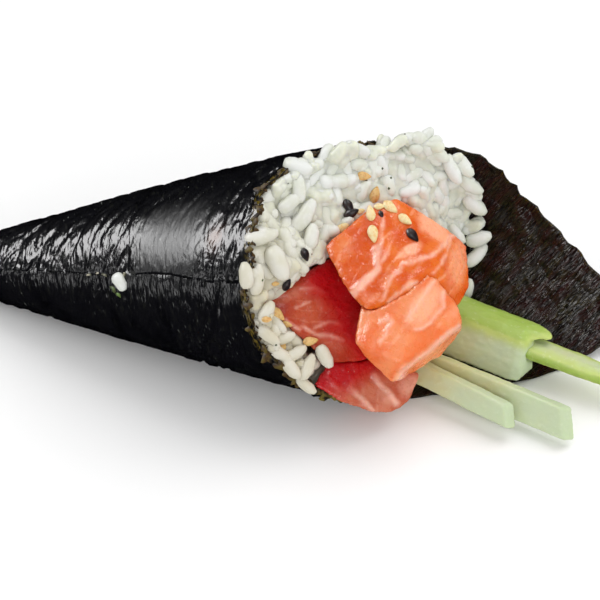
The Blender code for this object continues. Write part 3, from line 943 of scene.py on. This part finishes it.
# How deep the sticks' middles lie under the skin, and the change per millimetre up and across.
STICK_DEPTH = (4.2, -0.35, 0.2)
END_SLANT = 0.45          # of the wedge's cut end, which is shorter on its skin side
# Tongue of skin past the wedge's cut end: turn, half turn, length and thickness.
TONGUE = (80.0, 32.0, 5.2, 1.2)


def stick_frame(start, end, roll):
    """Matrix with +X along the stick, +Y across it and +Z up."""
    along = (Vector(end) - Vector(start)).normalized()
    across = Vector((0.0, 0.0, 1.0)).cross(along).normalized()
    turn = Matrix((along, across, along.cross(across))).transposed().to_4x4()
    return Matrix.Translation(start) @ turn @ Matrix.Rotation(math.radians(-roll), 4, "X")


def under_skin(node, place):
    """How far a point in the stick's own frame lies under the skin, in millimetres."""
    if node == "cucumber_wedge":
        angle = math.degrees(math.atan2(place.z, place.y))
        if WEDGE_FOOT < angle < WEDGE_ARC:
            return WEDGE_RADIUS - math.hypot(place.y, place.z)
        border = math.radians(WEDGE_ARC if angle > 0.0 else 0.0)
        corner = WEDGE_RADIUS * Vector((math.cos(border), math.sin(border)))
        return (Vector((place.y, place.z)) - corner).length
    if node == "cucumber_tip_slice":
        taper, lean = SLICE_TAPER
        half = SLICE_HALF * (1.0 - (place.x / taper) ** 2)
        return half - abs(place.y + lean * place.x) + 0.2
    depth, up, across = STICK_DEPTH
    return depth + up * place.z + across * place.y


def cucumber_finish(look, name):
    """Pale wet flesh, greener towards the skin, with a tan painted towards each piece's inner end
    for light bounced from the salmon.
    """
    finish = Finish(name, Subsurface_Weight=0.3, Subsurface_Scale=0.002,
                    Subsurface_Radius=(0.8, 1.0, 0.4), Specular_IOR_Level=0.45)
    place = finish.in_millimetres()
    depth = finish.attribute("under_skin")
    out = finish.attribute("out")
    cloud = finish.noise(place, 4.0)
    fibre = finish.noise(place, 0.9, 3.0, 0.6)
    uneven = depth + (cloud - 0.5) * 1.2 + (fibre - 0.5) * 0.3
    # Painted reflected light: tan towards each piece's inner end next to the salmon, paler further
    # out.
    colour = finish.mix((out + (cloud - 0.5) * 0.5).step(0.25, 0.95), look.core, look.flesh)
    colour = finish.mix(uneven.step(3.0, 0.6), colour, look.rind)
    colour = finish.mix(uneven.step(0.7, 0.0), colour, look.skin)
    colour = finish.mix(fibre.step(0.58, 0.7) * 0.16, colour, srgb(226, 234, 210))
    finish.coat(colour, 0.3 + fibre * 0.25)
    finish.bump(fibre * 0.6 + cloud * 0.4, 0.14, 0.7)
    return finish


class TEMAKI_OT_cucumber(bpy.types.Operator):
    """Make the cucumber: two square-cut sticks, a wedge and a slice from the tip."""
    bl_idname = "temaki.cucumber"
    bl_label = "Cucumber"

    voxel = 0.24
    slice_out = 0.7           # the whole slice is as pale as the sticks' far ends
    slice_reach = (3.4, 6.0)  # how far its thick end is drawn back, and over what length

    def execute(self, context):
        look = context.scene.temaki_cucumber
        for node, stick in STICKS.items():
            piece = copy_solid(node, node + "_flesh")
            axis = stick_frame(**stick)
            into = axis.inverted()
            length = (Vector(stick["end"]) - Vector(stick["start"])).length
            out = self.slice_out if node == "cucumber_tip_slice" else 0.0
            remesh(piece, self.voxel)
            if node == "cucumber_wedge":
                self.draw_along(piece, axis, lambda place: self.slanted_end(place, length))
                remesh(piece, self.voxel)
            if node == "cucumber_tip_slice":
                self.draw_along(piece, axis, self.reached_in)
            modify(piece, "SMOOTH", factor=0.3, iterations=1)
            push_out(piece, lambda point: self.knife_marks(into @ point))
            number_each_point(piece, "under_skin", lambda point: under_skin(node, into @ point))
            number_each_point(piece, "out", lambda point: max((into @ point).x / length, out))
            settle(piece, "cucumber", [cucumber_finish(look, node)], node)
        return {"FINISHED"}

    @staticmethod
    def draw_along(piece, axis, end):
        """Move each point along the stick to end(place)."""
        into = axis.inverted()
        for vertex in piece.data.vertices:
            place = into @ vertex.co
            place.x = end(place)
            vertex.co = axis @ place

    @staticmethod
    def slanted_end(place, length):
        """The wedge's cut end slants, and a pointed tongue of skin is drawn out past it."""
        turn, spread, reach, thick = TONGUE
        angle = math.degrees(math.atan2(place.z, place.y))
        pointed = 1.0 - abs(angle - turn) / spread
        slanted = length - END_SLANT * max(place.y + 3.0, 0.0)
        under = under_skin("cucumber_wedge", place)
        if pointed > 0.0 and under < thick and place.x > slanted - 1.0:
            drawn = min((place.x - slanted + 1.0) / (length - slanted + 0.7), 1.0)
            return place.x + reach * pointed ** 0.8 * drawn
        return min(place.x, slanted)

    def reached_in(self, place):
        """The slice's thick end is drawn back under the tongue of skin."""
        back, over = self.slice_reach
        return place.x - back * max(0.0, 1.0 - max(place.x, 0.0) / over)

    @staticmethod
    def knife_marks(place):
        """Shallow marks that run along the cut faces."""
        marks = noise.noise(Vector((place.x / 14.0, place.y / 0.9, place.z / 0.9)))
        frayed = noise.noise(Vector((place.x / 1.2, place.y / 0.8, place.z / 0.8)))
        return 0.07 * marks + 0.08 * noise.noise(place / 3.5) + 0.07 * frayed - 0.02


# ---------------------------------------------------------------- rice

# Kinds of grain: length and width against a whole grain, and how far each is bent.
GRAIN_KINDS = ((1.0, 1.0, 0.10), (1.12, 0.92, 0.22), (0.86, 1.06, 0.05), (0.95, 0.96, -0.16))

HEAP_TOP = 23.3           # how far up the mouth's plane the heap goes
FLAP_RIGHT = 20.0         # how far right the grains lie on the sheet's flap
# Grains that stand apart or lie where they show: right, up, heading in the mouth's plane, tilt,
# lift and size.
STRAY_GRAINS = (
    (23.8, 16.7, -50.0, 10.0, 1.0, 1.0), (25.1, 13.5, -30.0, 0.0, 1.0, 1.05),
    (26.2, 9.8, -35.0, 0.0, 1.0, 1.05), (22.9, 4.6, -50.0, 10.0, 1.0, 0.8),
    (27.0, 3.8, 18.0, 10.0, 1.4, 1.0), (26.6, 0.8, 48.0, 0.0, 1.2, 1.0),
    (25.0, -5.4, 75.0, 10.0, 1.0, 0.8), (16.4, 21.4, 54.0, 20.0, 0.6, 0.95),
    (19.2, 18.8, -35.0, 0.0, 0.6, 0.9), (21.8, 16.0, -62.0, 0.0, 0.5, 1.05),
    (-6.0, 16.0, -20.0, 0.0, 0.4, 1.1), (-6.0, 12.3, 95.0, 0.0, 0.4, 1.0),
    (-7.5, 9.6, 40.0, 0.0, 0.4, 0.95), (-5.0, 7.4, 58.0, 0.0, 0.5, 1.2),
    (-3.7, 3.7, 80.0, 0.0, 0.6, 0.95), (-12.4, 3.6, 15.0, 0.0, 0.4, 1.1),
    (-9.5, -1.1, -64.0, 0.0, 0.7, 1.3), (-13.2, -3.9, 85.0, 0.0, 0.6, 1.0),
    (-15.1, -3.2, 97.0, 0.0, 0.3, 0.95), (-10.2, -6.2, 22.0, 0.0, 0.4, 0.9),
    (-11.5, -9.5, 60.0, 0.0, 0.4, 0.85), (-11.2, -13.6, -40.0, 0.0, 0.6, 0.9),
    (-8.4, -14.0, 15.0, 0.0, 0.6, 0.8), (-6.6, -16.8, 30.0, 0.0, 0.8, 0.85),
    (-1.3, -17.4, -60.0, 0.0, 1.0, 0.9), (-4.4, -19.2, 65.0, 0.0, 0.8, 0.9),
    (-2.6, -20.8, 45.0, 0.0, 0.9, 0.85), (-4.6, -22.4, -40.0, 0.0, 0.6, 0.8),
    (-7.2, -19.4, -50.0, 0.0, 0.5, 0.9), (-9.2, -16.8, -35.0, 0.0, 0.4, 0.95),
)


def rice_finish(look):
    """Cooked grains, glossy and a little cloudy, with painted shade low in the mouth."""
    finish = Finish("cooked rice", Specular_IOR_Level=0.5)
    place = finish.in_millimetres()
    cloud = finish.noise(place, 3.2)
    fine = finish.noise(place, 0.7)
    colour = finish.mix(cloud.step(0.38, 0.64), look.grain, srgb(216, 219, 206))
    colour = finish.mix(fine.step(0.55, 0.75) * 0.35, colour, srgb(240, 241, 238))
    # Painted shade: darker and yellower low in the mouth and down its left side.
    colour = finish.mix(finish.attribute("rice_shade") * (0.35 + cloud * 0.6), colour, look.starch_shaded)
    finish.coat(colour, 0.42 + fine * 0.2)
    finish.bump(fine, 0.05, 0.5)
    return finish


def starch_finish(look):
    """The rice that has stuck together, soft and see-through, with painted shade low in the mouth.
    """
    finish = Finish("rice starch", Subsurface_Weight=0.7, Subsurface_Scale=0.0015,
                    Subsurface_Radius=(1.0, 1.0, 0.7), Specular_IOR_Level=0.45)
    place = finish.in_millimetres()
    cloud = finish.noise(place, 2.6, 3.0, 0.55)
    colour = finish.mix(cloud.step(0.35, 0.65), look.starch, srgb(210, 213, 198))
    # Painted shade: darker and yellower low in the mouth and down its left side.
    colour = finish.mix(finish.attribute("rice_shade") * 0.8, colour, look.starch_shaded)
    finish.coat(colour, 0.35 + cloud * 0.2)
    finish.bump(cloud, 0.1, 0.6)
    return finish


def rice_shade_share(point):
    """Share of painted shade on the rice, 0 to 1: none at the top of the mouth, and more, darker
    and yellower, low in it and down its left side."""
    inside = INTO_MOUTH @ point
    return limit(0.5 - inside.y / 24.0 - inside.x / 60.0)


def grain_bases(length, width):
    """A few shapes of grain, long axis along +X: plump, pointed, bent and notched at the germ."""
    bases = []
    for stretch, plump, bend in GRAIN_KINDS:
        base = new_ball("grain_base", 10, 8, length * stretch / 2.0, width * plump / 2.0,
                        width * plump * 0.42)
        for vertex in base.data.vertices:
            share = min(abs(2.0 * vertex.co.x / (length * stretch)), 0.999)
            side = math.copysign(share, vertex.co.x)
            blunt = math.sqrt((1.0 - share ** 3.6) / (1.0 - share ** 2)) * (1.0 - 0.09 * side)
            vertex.co.y = vertex.co.y * blunt + bend * (share * share - 0.4)
            vertex.co.z *= blunt
            vertex.co.x *= 1.0 - 0.05 * share ** 12
            if side > 0.6 and vertex.co.y > 0.0:
                vertex.co.y *= 0.78
            dent = noise.noise(vertex.co / 1.3 + Vector((stretch * 40.0, 0.0, 0.0)))
            vertex.co.yz = vertex.co.yz * (1.0 + 0.16 * dent)
        bases.append(base)
    return bases


def trees_of_filling():
    """Search trees of the salmon and the cucumber."""
    return [tree_of(node + "_flesh") for node in (*CHUNKS, *STICKS)]


def any_heading(dice):
    """A heading in any direction."""
    return Vector([dice.gauss(0.0, 1.0) for _ in range(3)])


class TEMAKI_OT_rice(bpy.types.Operator):
    """Make the rice: a bed of grains that have stuck together and the separate ones over it."""
    bl_idname = "temaki.rice"
    bl_label = "Rice"

    # Each layer: depth of its grains' middles under the heap's outline, their spread and spacing.
    bed_layer = (1.30, 0.4, 1.8)
    top_layers = ((1.25, 0.25, 2.4), (1.0, 0.2, 3.3))
    sample_count = 12000
    core_voxel = 0.8
    core_inset = 1.2          # of the solid core under the heap's outline
    bed_voxel = 0.40
    rim_count = 12
    rim_turns = (112.0, 30.0)  # where the grains on the rim begin, and over what turn they lie
    stray_size = 1.08
    flap_step = (0.3, 12)     # a stray grain's step away from the flap, and the most steps
    flap_room = (2.8, 1.4)    # how far from its middle it is tested, and the gap it keeps
    tried_sinks = (0.0, 0.3, 0.6, 0.9, 1.2, 0.0, 0.6)  # further in, until a grain lies clear
    tried_along = (-0.42, 0.0, 0.42)  # where along a grain it is tested, of its length
    wall_room = 0.6           # between a grain's middle line and the wall, of its width
    skin_room = 0.25          # between it and the filling, of its width

    def execute(self, context):
        look = context.scene.temaki_rice
        length, width = look.grain_length / MM, look.grain_width / MM
        heap = copy_solid("rice", "rice_core")
        sheet = tree_of("nori_rolled_sheet")
        skins = [*trees_of_filling(), sheet]
        outlines = [*skins, tree_of(heap.name, Matrix())]
        dice = random.Random(11)
        seen = self.seen_points(heap, outlines, dice)
        stuck = self.scatter(seen, self.bed_layer, skins, dice, length, width)
        loose = []
        for layer in self.top_layers:
            loose += self.scatter(seen, layer, skins, dice, length, width)
        loose += self.on_the_rim(dice) + self.strays(outlines, sheet)
        remesh(heap, self.core_voxel)
        push_out(heap, lambda point: -self.core_inset)
        bed = join_copies("rice_bed", grain_bases(length, width), stuck)
        only(heap, bed)
        bpy.ops.object.join()
        remesh(heap, self.bed_voxel)
        modify(heap, "SMOOTH", factor=0.5, iterations=2)
        # Share of painted shade at each point of the rice.
        number_each_point(heap, "rice_shade", rice_shade_share)
        settle(heap, "rice", [starch_finish(look)], "rice")
        grains = join_copies("rice_grains", grain_bases(length, width), loose)
        number_each_point(grains, "rice_shade", rice_shade_share)
        settle(grains, "rice", [rice_finish(look)], "rice")
        return {"FINISHED"}

    def seen_points(self, heap, outlines, dice):
        """Points of the heap's outline, with their normals, that can be seen from some side."""
        views = [OUT, Vector((0.0, 0.0, 1.0)), RIGHT, (OUT + RIGHT).normalized(),
                 (OUT + UP).normalized(), (OUT - RIGHT).normalized(), UP]
        found = []
        for point, normal in self.samples(heap, dice):
            start = point + normal * 0.4
            if any(all(tree.ray_cast(start, view)[0] is None for tree in outlines)
                   for view in views):
                found.append((point, normal))
        return found

    def scatter(self, seen, layer, skins, dice, length, width):
        """Places for one layer of grains over the points that can be seen."""
        depth, spread, apart = layer
        kept, places = [], []
        for point, normal in seen:
            if any((point - other).length_squared < apart * apart for other in kept):
                continue
            kept.append(point)
            heading = any_heading(dice)
            tilt = dice.gauss(0.0, 0.25)
            sink = depth + dice.uniform(-spread, spread)
            kind = dice.randrange(len(GRAIN_KINDS))
            scale = dice.uniform(0.9, 1.1)
            for change in self.tried_sinks:
                place = self.lay(point - normal * (sink + change), normal, heading, tilt, scale)
                if self.clear(place, skins, length, width):
                    places.append((kind, place))
                    break
                heading = any_heading(dice)
        return places

    def on_the_rim(self, dice):
        """Places of the grains that have spilled on to the sheet's edge along the top."""
        places = []
        first, over = self.rim_turns
        for number in range(self.rim_count):
            turn = first + over * number / (self.rim_count - 1) + dice.uniform(-1.5, 1.5)
            x = sheet_reach(turn) + dice.uniform(-0.6, 0.8)
            point = cone_point(x, turn, dice.uniform(1.9, 2.9))
            heading = Vector((1.0, dice.gauss(0.0, 0.9), dice.gauss(0.0, 0.5)))
            facing = outward(x, turn) + OUT * 0.4
            place = self.lay(point, facing, heading, dice.gauss(0.0, 0.2), 1.0)
            places.append((dice.randrange(len(GRAIN_KINDS)), place))
        return places

    def strays(self, trees, sheet):
        """Places of the grains that stand apart."""
        places = []
        for right, up, heading, tilt, lift, size in STRAY_GRAINS:
            hit, normal = land(right, up, trees)
            centre = MOUTH @ Vector((right, up, (INTO_MOUTH @ hit).z + lift))
            along = towards(heading)
            if right > FLAP_RIGHT:
                centre = self.off_the_flap(centre, along, sheet)
            place = self.lay(centre, normal + 2.0 * OUT, along, math.radians(tilt),
                             self.stray_size * size)
            places.append((len(places) % 2, place))
        return places

    def off_the_flap(self, centre, along, sheet):
        """Move a grain out of the mouth until it lies clear on the flap's inner side."""
        step, most = self.flap_step
        half, room = self.flap_room
        for _ in range(most):
            met = 0
            for end in (-half, 0.0, half):
                point = centre + along * end
                axis = Vector((point.x, 0.0, cone_radius(point.x) - REST_FLAT))
                away = point - axis
                met += sheet.ray_cast(axis, away.normalized(), away.length + room)[0] is not None
            if not met:
                break
            centre = centre + OUT * step
        return centre

    def samples(self, heap, dice):
        """Random points with their normals, evenly spread over the heap's surface."""
        heap.data.calc_loop_triangles()
        triangles = [tri for tri in heap.data.loop_triangles if tri.area > 0.0]
        areas = [tri.area for tri in triangles]
        chosen = dice.choices(triangles, weights=areas, k=self.sample_count)
        found = []
        for tri in chosen:
            a, b, c = (heap.data.vertices[index].co for index in tri.vertices)
            s, t = dice.random(), dice.random()
            if s + t > 1.0:
                s, t = 1.0 - s, 1.0 - t
            found.append((a + (b - a) * s + (c - a) * t, tri.normal.copy()))
        return found

    @staticmethod
    def lay(point, normal, heading, tilt, scale):
        """Matrix of a grain that lies on the heap, its front end raised by the tilt."""
        place = seat(point, normal, heading, scale)
        return place @ Matrix.Rotation(-tilt, 4, "Y")

    def clear(self, place, skins, length, width):
        """Whether a grain keeps clear of the filling and of the sheet."""
        for share in self.tried_along:
            point = place @ Vector((length * share, 0.0, 0.0))
            too_high = (INTO_MOUTH @ point).y > HEAP_TOP - 0.5 * width
            if too_high or inside_by(point) < self.wall_room * width:
                return False
            for tree in skins:
                hit, normal, _, distance = tree.find_nearest(point)
                if (point - hit).dot(normal) < 0.0 or distance < self.skin_room * width:
                    return False
        return True


# ---------------------------------------------------------------- sesame and crumbs

# Seeds: right, up, heading in the mouth's plane, size against a whole seed.
WHITE_SEEDS = (
    (6.7, 7.8, 97.0, 1.0), (10.2, 8.9, -38.0, 1.05), (12.8, 6.7, -35.0, 0.95),
    (7.1, 4.1, -80.0, 1.1), (1.9, 5.4, 30.0, 0.9), (8.3, 9.0, 10.0, 0.7), (5.0, 8.2, 20.0, 0.6),
)
TOASTED_SEEDS = (
    (5.6, 14.5, -5.0, 0.92), (7.6, 11.3, 75.0, 1.05), (-9.7, -10.0, -45.0, 1.05),
    (-8.0, -11.7, -10.0, 0.7), (-11.5, -10.8, -5.0, 0.65), (-8.9, -15.4, 80.0, 0.9),
    (-3.9, -14.7, 10.0, 0.95), (-10.0, -4.6, 0.0, 0.5),
)
BLACK_SEEDS = (
    (2.9, 9.0, -60.0, 1.0), (3.4, 7.9, 25.0, 1.0), (14.1, 3.9, -50.0, 1.0),
    (-4.8, 0.5, -70.0, 0.85), (-8.0, -4.8, 60.0, 0.8), (8.6, 7.6, -70.0, 0.5),
    (-3.6, -16.0, -60.0, 0.6),
)
SEED_SECTION = (0.285, 0.16)  # half a seed's width and half its thickness, of its length


def seed_finish(name, colour, dark, gloss):
    """A seed's skin, mottled with a darker shade."""
    finish = Finish(name, Subsurface_Weight=0.15, Subsurface_Scale=0.0006, Specular_IOR_Level=0.5)
    place = finish.in_millimetres()
    grain = finish.noise(place, 0.5, 3.0, 0.6)
    body = finish.mix(grain.step(0.42, 0.72), colour, dark)
    finish.coat(body, gloss + grain * 0.2)
    finish.bump(grain, 0.06, 0.7)
    return finish


def seed_base(length):
    """A sesame seed: a flat drop, pointed at one end, long axis along +X."""
    wide, thick = SEED_SECTION
    base = new_ball("seed_base", 16, 12, length / 2.0, length * wide, length * thick)
    for vertex in base.data.vertices:
        share = 2.0 * vertex.co.x / length
        taper = 1.0 - 0.34 * max(share, -0.3) - 0.12 * max(share, 0.0) ** 2
        vertex.co.y *= taper
        vertex.co.z *= 0.4 + 0.6 * taper
    return base


def crumb_base():
    """An irregular flake of nori."""
    bpy.ops.mesh.primitive_ico_sphere_add(subdivisions=1, radius=0.5)
    base = new_piece("crumb_base")
    for vertex in base.data.vertices:
        vertex.co *= 1.0 + 0.5 * noise.noise(vertex.co * 3.0)
        vertex.co.z *= 0.35
    return base


def flake_base():
    """A thin torn flake with a ragged outline."""
    bpy.ops.mesh.primitive_circle_add(vertices=11, radius=0.5, fill_type="NGON")
    base = new_piece("flake_base")
    for vertex in base.data.vertices:
        vertex.co *= 1.0 + 0.55 * noise.noise(vertex.co * 5.3)
        vertex.co.z += 0.10 * noise.noise(vertex.co * 2.0)
    edit(base)
    bpy.ops.mesh.extrude_region_move(TRANSFORM_OT_translate={"value": (0.0, 0.0, 0.12)})
    bpy.ops.mesh.select_all(action="SELECT")
    bpy.ops.mesh.normals_make_consistent(inside=False)
    leave_edit()
    return base


class TEMAKI_OT_sesame(bpy.types.Operator):
    """Strew the white, toasted and black sesame seeds over the filling."""
    bl_idname = "temaki.sesame"
    bl_label = "Sesame"

    def execute(self, context):
        look = context.scene.temaki_sesame
        length = look.seed_length / MM
        under = ("rice_grains", "rice_core", "nori_rolled_sheet")
        trees = [tree_of(name) for name in under] + trees_of_filling()
        kinds = (
            ("sesame_hulled", "sesame_white", WHITE_SEEDS, look.white, srgb(226, 188, 116), 0.35),
            ("sesame_toasted", "sesame_white", TOASTED_SEEDS, look.toasted,
             srgb(196, 146, 78), 0.35),
            ("sesame_dark", "sesame_black", BLACK_SEEDS, look.black, srgb(58, 40, 36), 0.25),
        )
        for name, slot, seeds, colour, dark, gloss in kinds:
            places = []
            for right, up, heading, size in seeds:
                hit, normal = land(right, up, trees)
                if hit is None:
                    raise RuntimeError(f"a seed of {name} at {right}, {up} has nothing under it")
                lean = (normal + OUT * 1.2).normalized()
                lift = lean * (0.10 * length * size)
                places.append((0, seat(hit + lift, lean, towards(heading), size)))
            piece = join_copies(name, [seed_base(length)], places)
            settle(piece, slot, [seed_finish(name, colour, dark, gloss)])
        return {"FINISHED"}


class TEMAKI_OT_crumbs(bpy.types.Operator):
    """Strew specks of nori over the rice and shreds of it along the rim, and lay the grain and
    crumbs that are stuck to the outside of the cone."""
    bl_idname = "temaki.crumbs"
    bl_label = "Crumbs"

    speck_count = 30
    speck_area = ((-16.0, 26.0), (-18.0, 23.0))  # right and up
    speck_size = (0.25, 0.55)
    shred_count = 150
    shred_turns = (-246.0, 198.0)   # where the shreds begin, and over what turn they lie

    # The grain stuck to the outside: right, up, heading and size.
    stuck_grain_place = (-37.6, -4.1, -64.0, 0.88)
    # Bits stuck to the outside beside the grain: right, up, heading, length and width.
    stuck_crumbs = (
        ("pale_crumbs", srgb(196, 188, 166), (
            (-43.4, -2.9, 5.0, 1.5, 0.5), (-42.0, -2.7, -8.0, 1.6, 0.6),
            (-40.6, -3.0, -20.0, 1.4, 0.5), (-37.0, -2.9, 40.0, 1.2, 0.8))),
        ("green_crumbs", srgb(104, 136, 58), (
            (-39.0, -5.6, -50.0, 1.8, 1.0), (-38.0, -6.6, -35.0, 1.4, 0.9))),
    )

    def execute(self, context):
        dice = random.Random(5)
        grains = tree_of("rice_grains")
        places = []
        for _ in range(self.speck_count):
            right, up = (dice.uniform(*reach) for reach in self.speck_area)
            hit, normal = land(right, up, [grains])
            if hit is not None:
                heading = Vector([dice.uniform(-1.0, 1.0) for _ in range(3)])
                places.append((0, seat(hit, normal, heading, dice.uniform(*self.speck_size))))
        specks = join_copies("nori_specks", [crumb_base()], places)
        speck = Finish("nori speck", Specular_IOR_Level=0.3)
        grain = speck.noise(speck.in_millimetres(), 2.0)
        colour = speck.mix(grain.step(0.4, 0.6), srgb(60, 66, 44), srgb(96, 110, 70))
        speck.coat(colour)
        settle(specks, "nori", [speck])
        self.shreds(context, dice)
        self.stuck_grain(context)
        return {"FINISHED"}

    def shreds(self, context, dice):
        """Torn bits between the rice and the sheet's edge, where it is thin and olive brown."""
        look = context.scene.temaki_nori
        places = []
        first, over = self.shred_turns
        for number in range(self.shred_count):
            turn = first + over * number / self.shred_count + dice.uniform(-1.5, 1.5)
            x = sheet_reach(turn) + dice.uniform(-0.9, 0.6)
            point = cone_point(x, turn, dice.uniform(0.1, 0.9))
            facing = outward(x, turn) + OUT * dice.uniform(0.0, 1.6)
            facing += Vector((dice.uniform(-0.5, 0.5),) * 3)
            heading = Vector([dice.uniform(low, 1.0) for low in (-0.6, -1.0, -1.0)])
            size = dice.uniform(0.6, 1.6) * (1.5 if turn > -85.0 else 1.0)
            place = seat(point, facing, heading, size)
            places.append((0, place @ Matrix.Diagonal((1.25, dice.uniform(0.5, 0.9), 0.6, 1.0))))
        piece = join_copies("nori_shreds", [flake_base()], places)
        number_each_point(piece, "moss", lambda point: limit((11.0 - point.z) / 5.0))
        finish = Finish("nori shreds", Specular_IOR_Level=0.4)
        grain = finish.noise(finish.in_millimetres(), 1.3, 3.0, 0.6)
        colour = finish.mix(grain.step(0.36, 0.5), srgb(40, 30, 16), srgb(84, 60, 24))
        colour = finish.mix(grain.step(0.50, 0.62), colour, look.edge)
        colour = finish.mix(finish.attribute("moss") * grain.step(0.36, 0.5), colour,
                            srgb(140, 128, 36))
        finish.coat(colour, 0.55 + grain * 0.2)
        settle(piece, "nori", [finish])

    def stuck_grain(self, context):
        """One broken grain with a green and a pale crumb on the front of the cone."""
        look = context.scene.temaki_rice
        sheet = [tree_of("nori_rolled_sheet")]
        right, up, heading, size = self.stuck_grain_place
        hit, normal = land(right, up, sheet)
        place = seat(hit + normal * 0.5, normal, towards(heading), size)
        bases = grain_bases(look.grain_length / MM, look.grain_width / MM)
        grain = join_copies("rice_stuck_grain", bases, [(2, place)])
        settle(grain, "rice", [rice_finish(look)])
        for name, colour, crumbs in self.stuck_crumbs:
            places = []
            for right, up, heading, length, width in crumbs:
                hit, normal = land(right, up, sheet)
                flat = Matrix.Diagonal((length, width, width, 1.0))
                places.append((0, seat(hit, normal, towards(heading)) @ flat))
            piece = join_copies(name, [crumb_base()], places)
            finish = Finish(name, Specular_IOR_Level=0.4)
            shade = finish.noise(finish.in_millimetres(), 0.6)
            shaded = finish.mix(shade.step(0.35, 0.65), colour, srgb(70, 74, 44))
            finish.coat(shaded)
            settle(piece, "nori", [finish])


# ---------------------------------------------------------------- stage

class TEMAKI_OT_stage(bpy.types.Operator):
    """Lay the pale floor, and set the soft lights and the camera."""
    bl_idname = "temaki.stage"
    bl_label = "Stage"

    aim = Vector((0.0172, 0.012, 0.0))
    camera_place = Vector((0.1362, -0.4029, 0.4168))
    floor_radius = 2.5
    floor_border = 0.3
    # Each light: direction from the roll, distance, width, height, power, and whether it lights
    # the surfaces or is only mirrored in them.
    lights = (
        ("key", (0.30, 0.42, 0.86), 0.95, 0.75, 0.75, 3.6, "diffuse"),
        ("fill", (0.45, -0.80, 0.40), 1.10, 0.50, 0.50, 2.3, "diffuse"),
        ("sheen", (-0.66, -0.12, 0.68), 0.60, 0.34, 0.50, 7.0, "mirror"),
        ("low sheen", (-0.66, -0.74, 0.14), 0.90, 0.60, 0.16, 1.0, "mirror"),
        ("glint", (0.16, 0.34, 0.92), 0.90, 0.20, 0.14, 1.5, "mirror"),
        ("low glint", (0.26, -0.66, 0.70), 0.90, 0.14, 0.14, 1.3, "mirror"),
    )

    def execute(self, context):
        look = context.scene.temaki_stage
        self.floor(look)
        self.sky(context, look)
        for name, direction, distance, width, height, power, part in self.lights:
            place = Vector(direction).normalized() * distance
            self.light(name, place, (width, height), power, part)
        self.camera(context, look)
        context.scene.view_settings.view_transform = "Standard"
        return {"FINISHED"}

    def floor(self, look):
        """A wide pale floor that isn't mirrored in the roll."""
        bpy.ops.mesh.primitive_circle_add(vertices=96, radius=self.floor_radius, fill_type="NGON")
        floor = new_piece("floor")
        edit(floor)
        bpy.ops.mesh.inset(thickness=self.floor_border)
        leave_edit()
        finish = Finish("floor", Roughness=0.9, Specular_IOR_Level=0.0)
        grain = finish.noise(finish.in_millimetres(), 60.0)
        pale = tuple(part * 0.99 for part in look.floor)
        finish.coat(finish.mix(grain, look.floor, pale))
        floor.data.materials.append(finish.material)
        floor.visible_glossy = False

    def sky(self, context, look):
        """Even light from all round that isn't mirrored in the roll."""
        world = bpy.data.worlds.new("sky")
        world.use_nodes = True
        background = world.node_tree.nodes["Background"]
        background.inputs["Color"].default_value = (1.0, 1.0, 1.0, 1.0)
        background.inputs["Strength"].default_value = look.sky
        context.scene.world = world
        world.cycles_visibility.glossy = False

    def light(self, name, place, size, power, part):
        """One soft light that faces the roll."""
        lamp = bpy.data.lights.new(name, "AREA")
        lamp.shape = "RECTANGLE"
        lamp.size, lamp.size_y = size
        lamp.energy = power
        stand = bpy.data.objects.new(name, lamp)
        bpy.context.collection.objects.link(stand)
        stand.location = self.aim + place
        stand.rotation_euler = place.to_track_quat("Z", "Y").to_euler()
        stand.visible_camera = False
        stand.visible_diffuse = part == "diffuse"
        stand.visible_glossy = part == "mirror"

    def camera(self, context, look):
        """The camera, which looks down into the mouth."""
        lens = bpy.data.cameras.new("camera")
        lens.lens = look.lens
        lens.sensor_width = 36.0
        view = bpy.data.objects.new("camera", lens)
        bpy.context.collection.objects.link(view)
        view.location = self.camera_place
        view.rotation_euler = (self.camera_place - self.aim).to_track_quat("Z", "Y").to_euler()
        context.scene.camera = view


# ---------------------------------------------------------------- panel and running

OPERATORS = (TEMAKI_OT_nori, TEMAKI_OT_salmon, TEMAKI_OT_cucumber, TEMAKI_OT_rice,
             TEMAKI_OT_sesame, TEMAKI_OT_crumbs, TEMAKI_OT_stage)


class TEMAKI_PT_panel(bpy.types.Panel):
    """Settings and steps of the hand roll."""
    bl_idname = "TEMAKI_PT_panel"
    bl_label = "Temaki hand roll"
    bl_space_type = "VIEW_3D"
    bl_region_type = "UI"
    bl_category = "Temaki"

    def draw(self, context):
        for operator in OPERATORS:
            self.layout.operator(operator.bl_idname)
        for name, group in SETTINGS.items():
            box = self.layout.box()
            box.label(text=name.replace("_", " ").capitalize())
            for setting in group.__annotations__:
                box.prop(getattr(context.scene, name), setting)


def register():
    """Add the settings, the steps and the panel."""
    for name, group in SETTINGS.items():
        bpy.utils.register_class(group)
        setattr(bpy.types.Scene, name, PointerProperty(type=group))
    for operator in OPERATORS:
        bpy.utils.register_class(operator)
    bpy.utils.register_class(TEMAKI_PT_panel)


def unregister():
    """Take the panel, the steps and the settings away again."""
    bpy.utils.unregister_class(TEMAKI_PT_panel)
    for operator in reversed(OPERATORS):
        bpy.utils.unregister_class(operator)
    for name, group in SETTINGS.items():
        delattr(bpy.types.Scene, name)
        bpy.utils.unregister_class(group)


def main():
    """Make the whole roll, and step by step."""
    register()
    bpy.ops.temaki.nori()
    bpy.ops.temaki.salmon()
    bpy.ops.temaki.cucumber()
    bpy.ops.temaki.rice()
    bpy.ops.temaki.sesame()
    bpy.ops.temaki.crumbs()
    bpy.ops.temaki.stage()


if __name__ == "__main__":
    main()
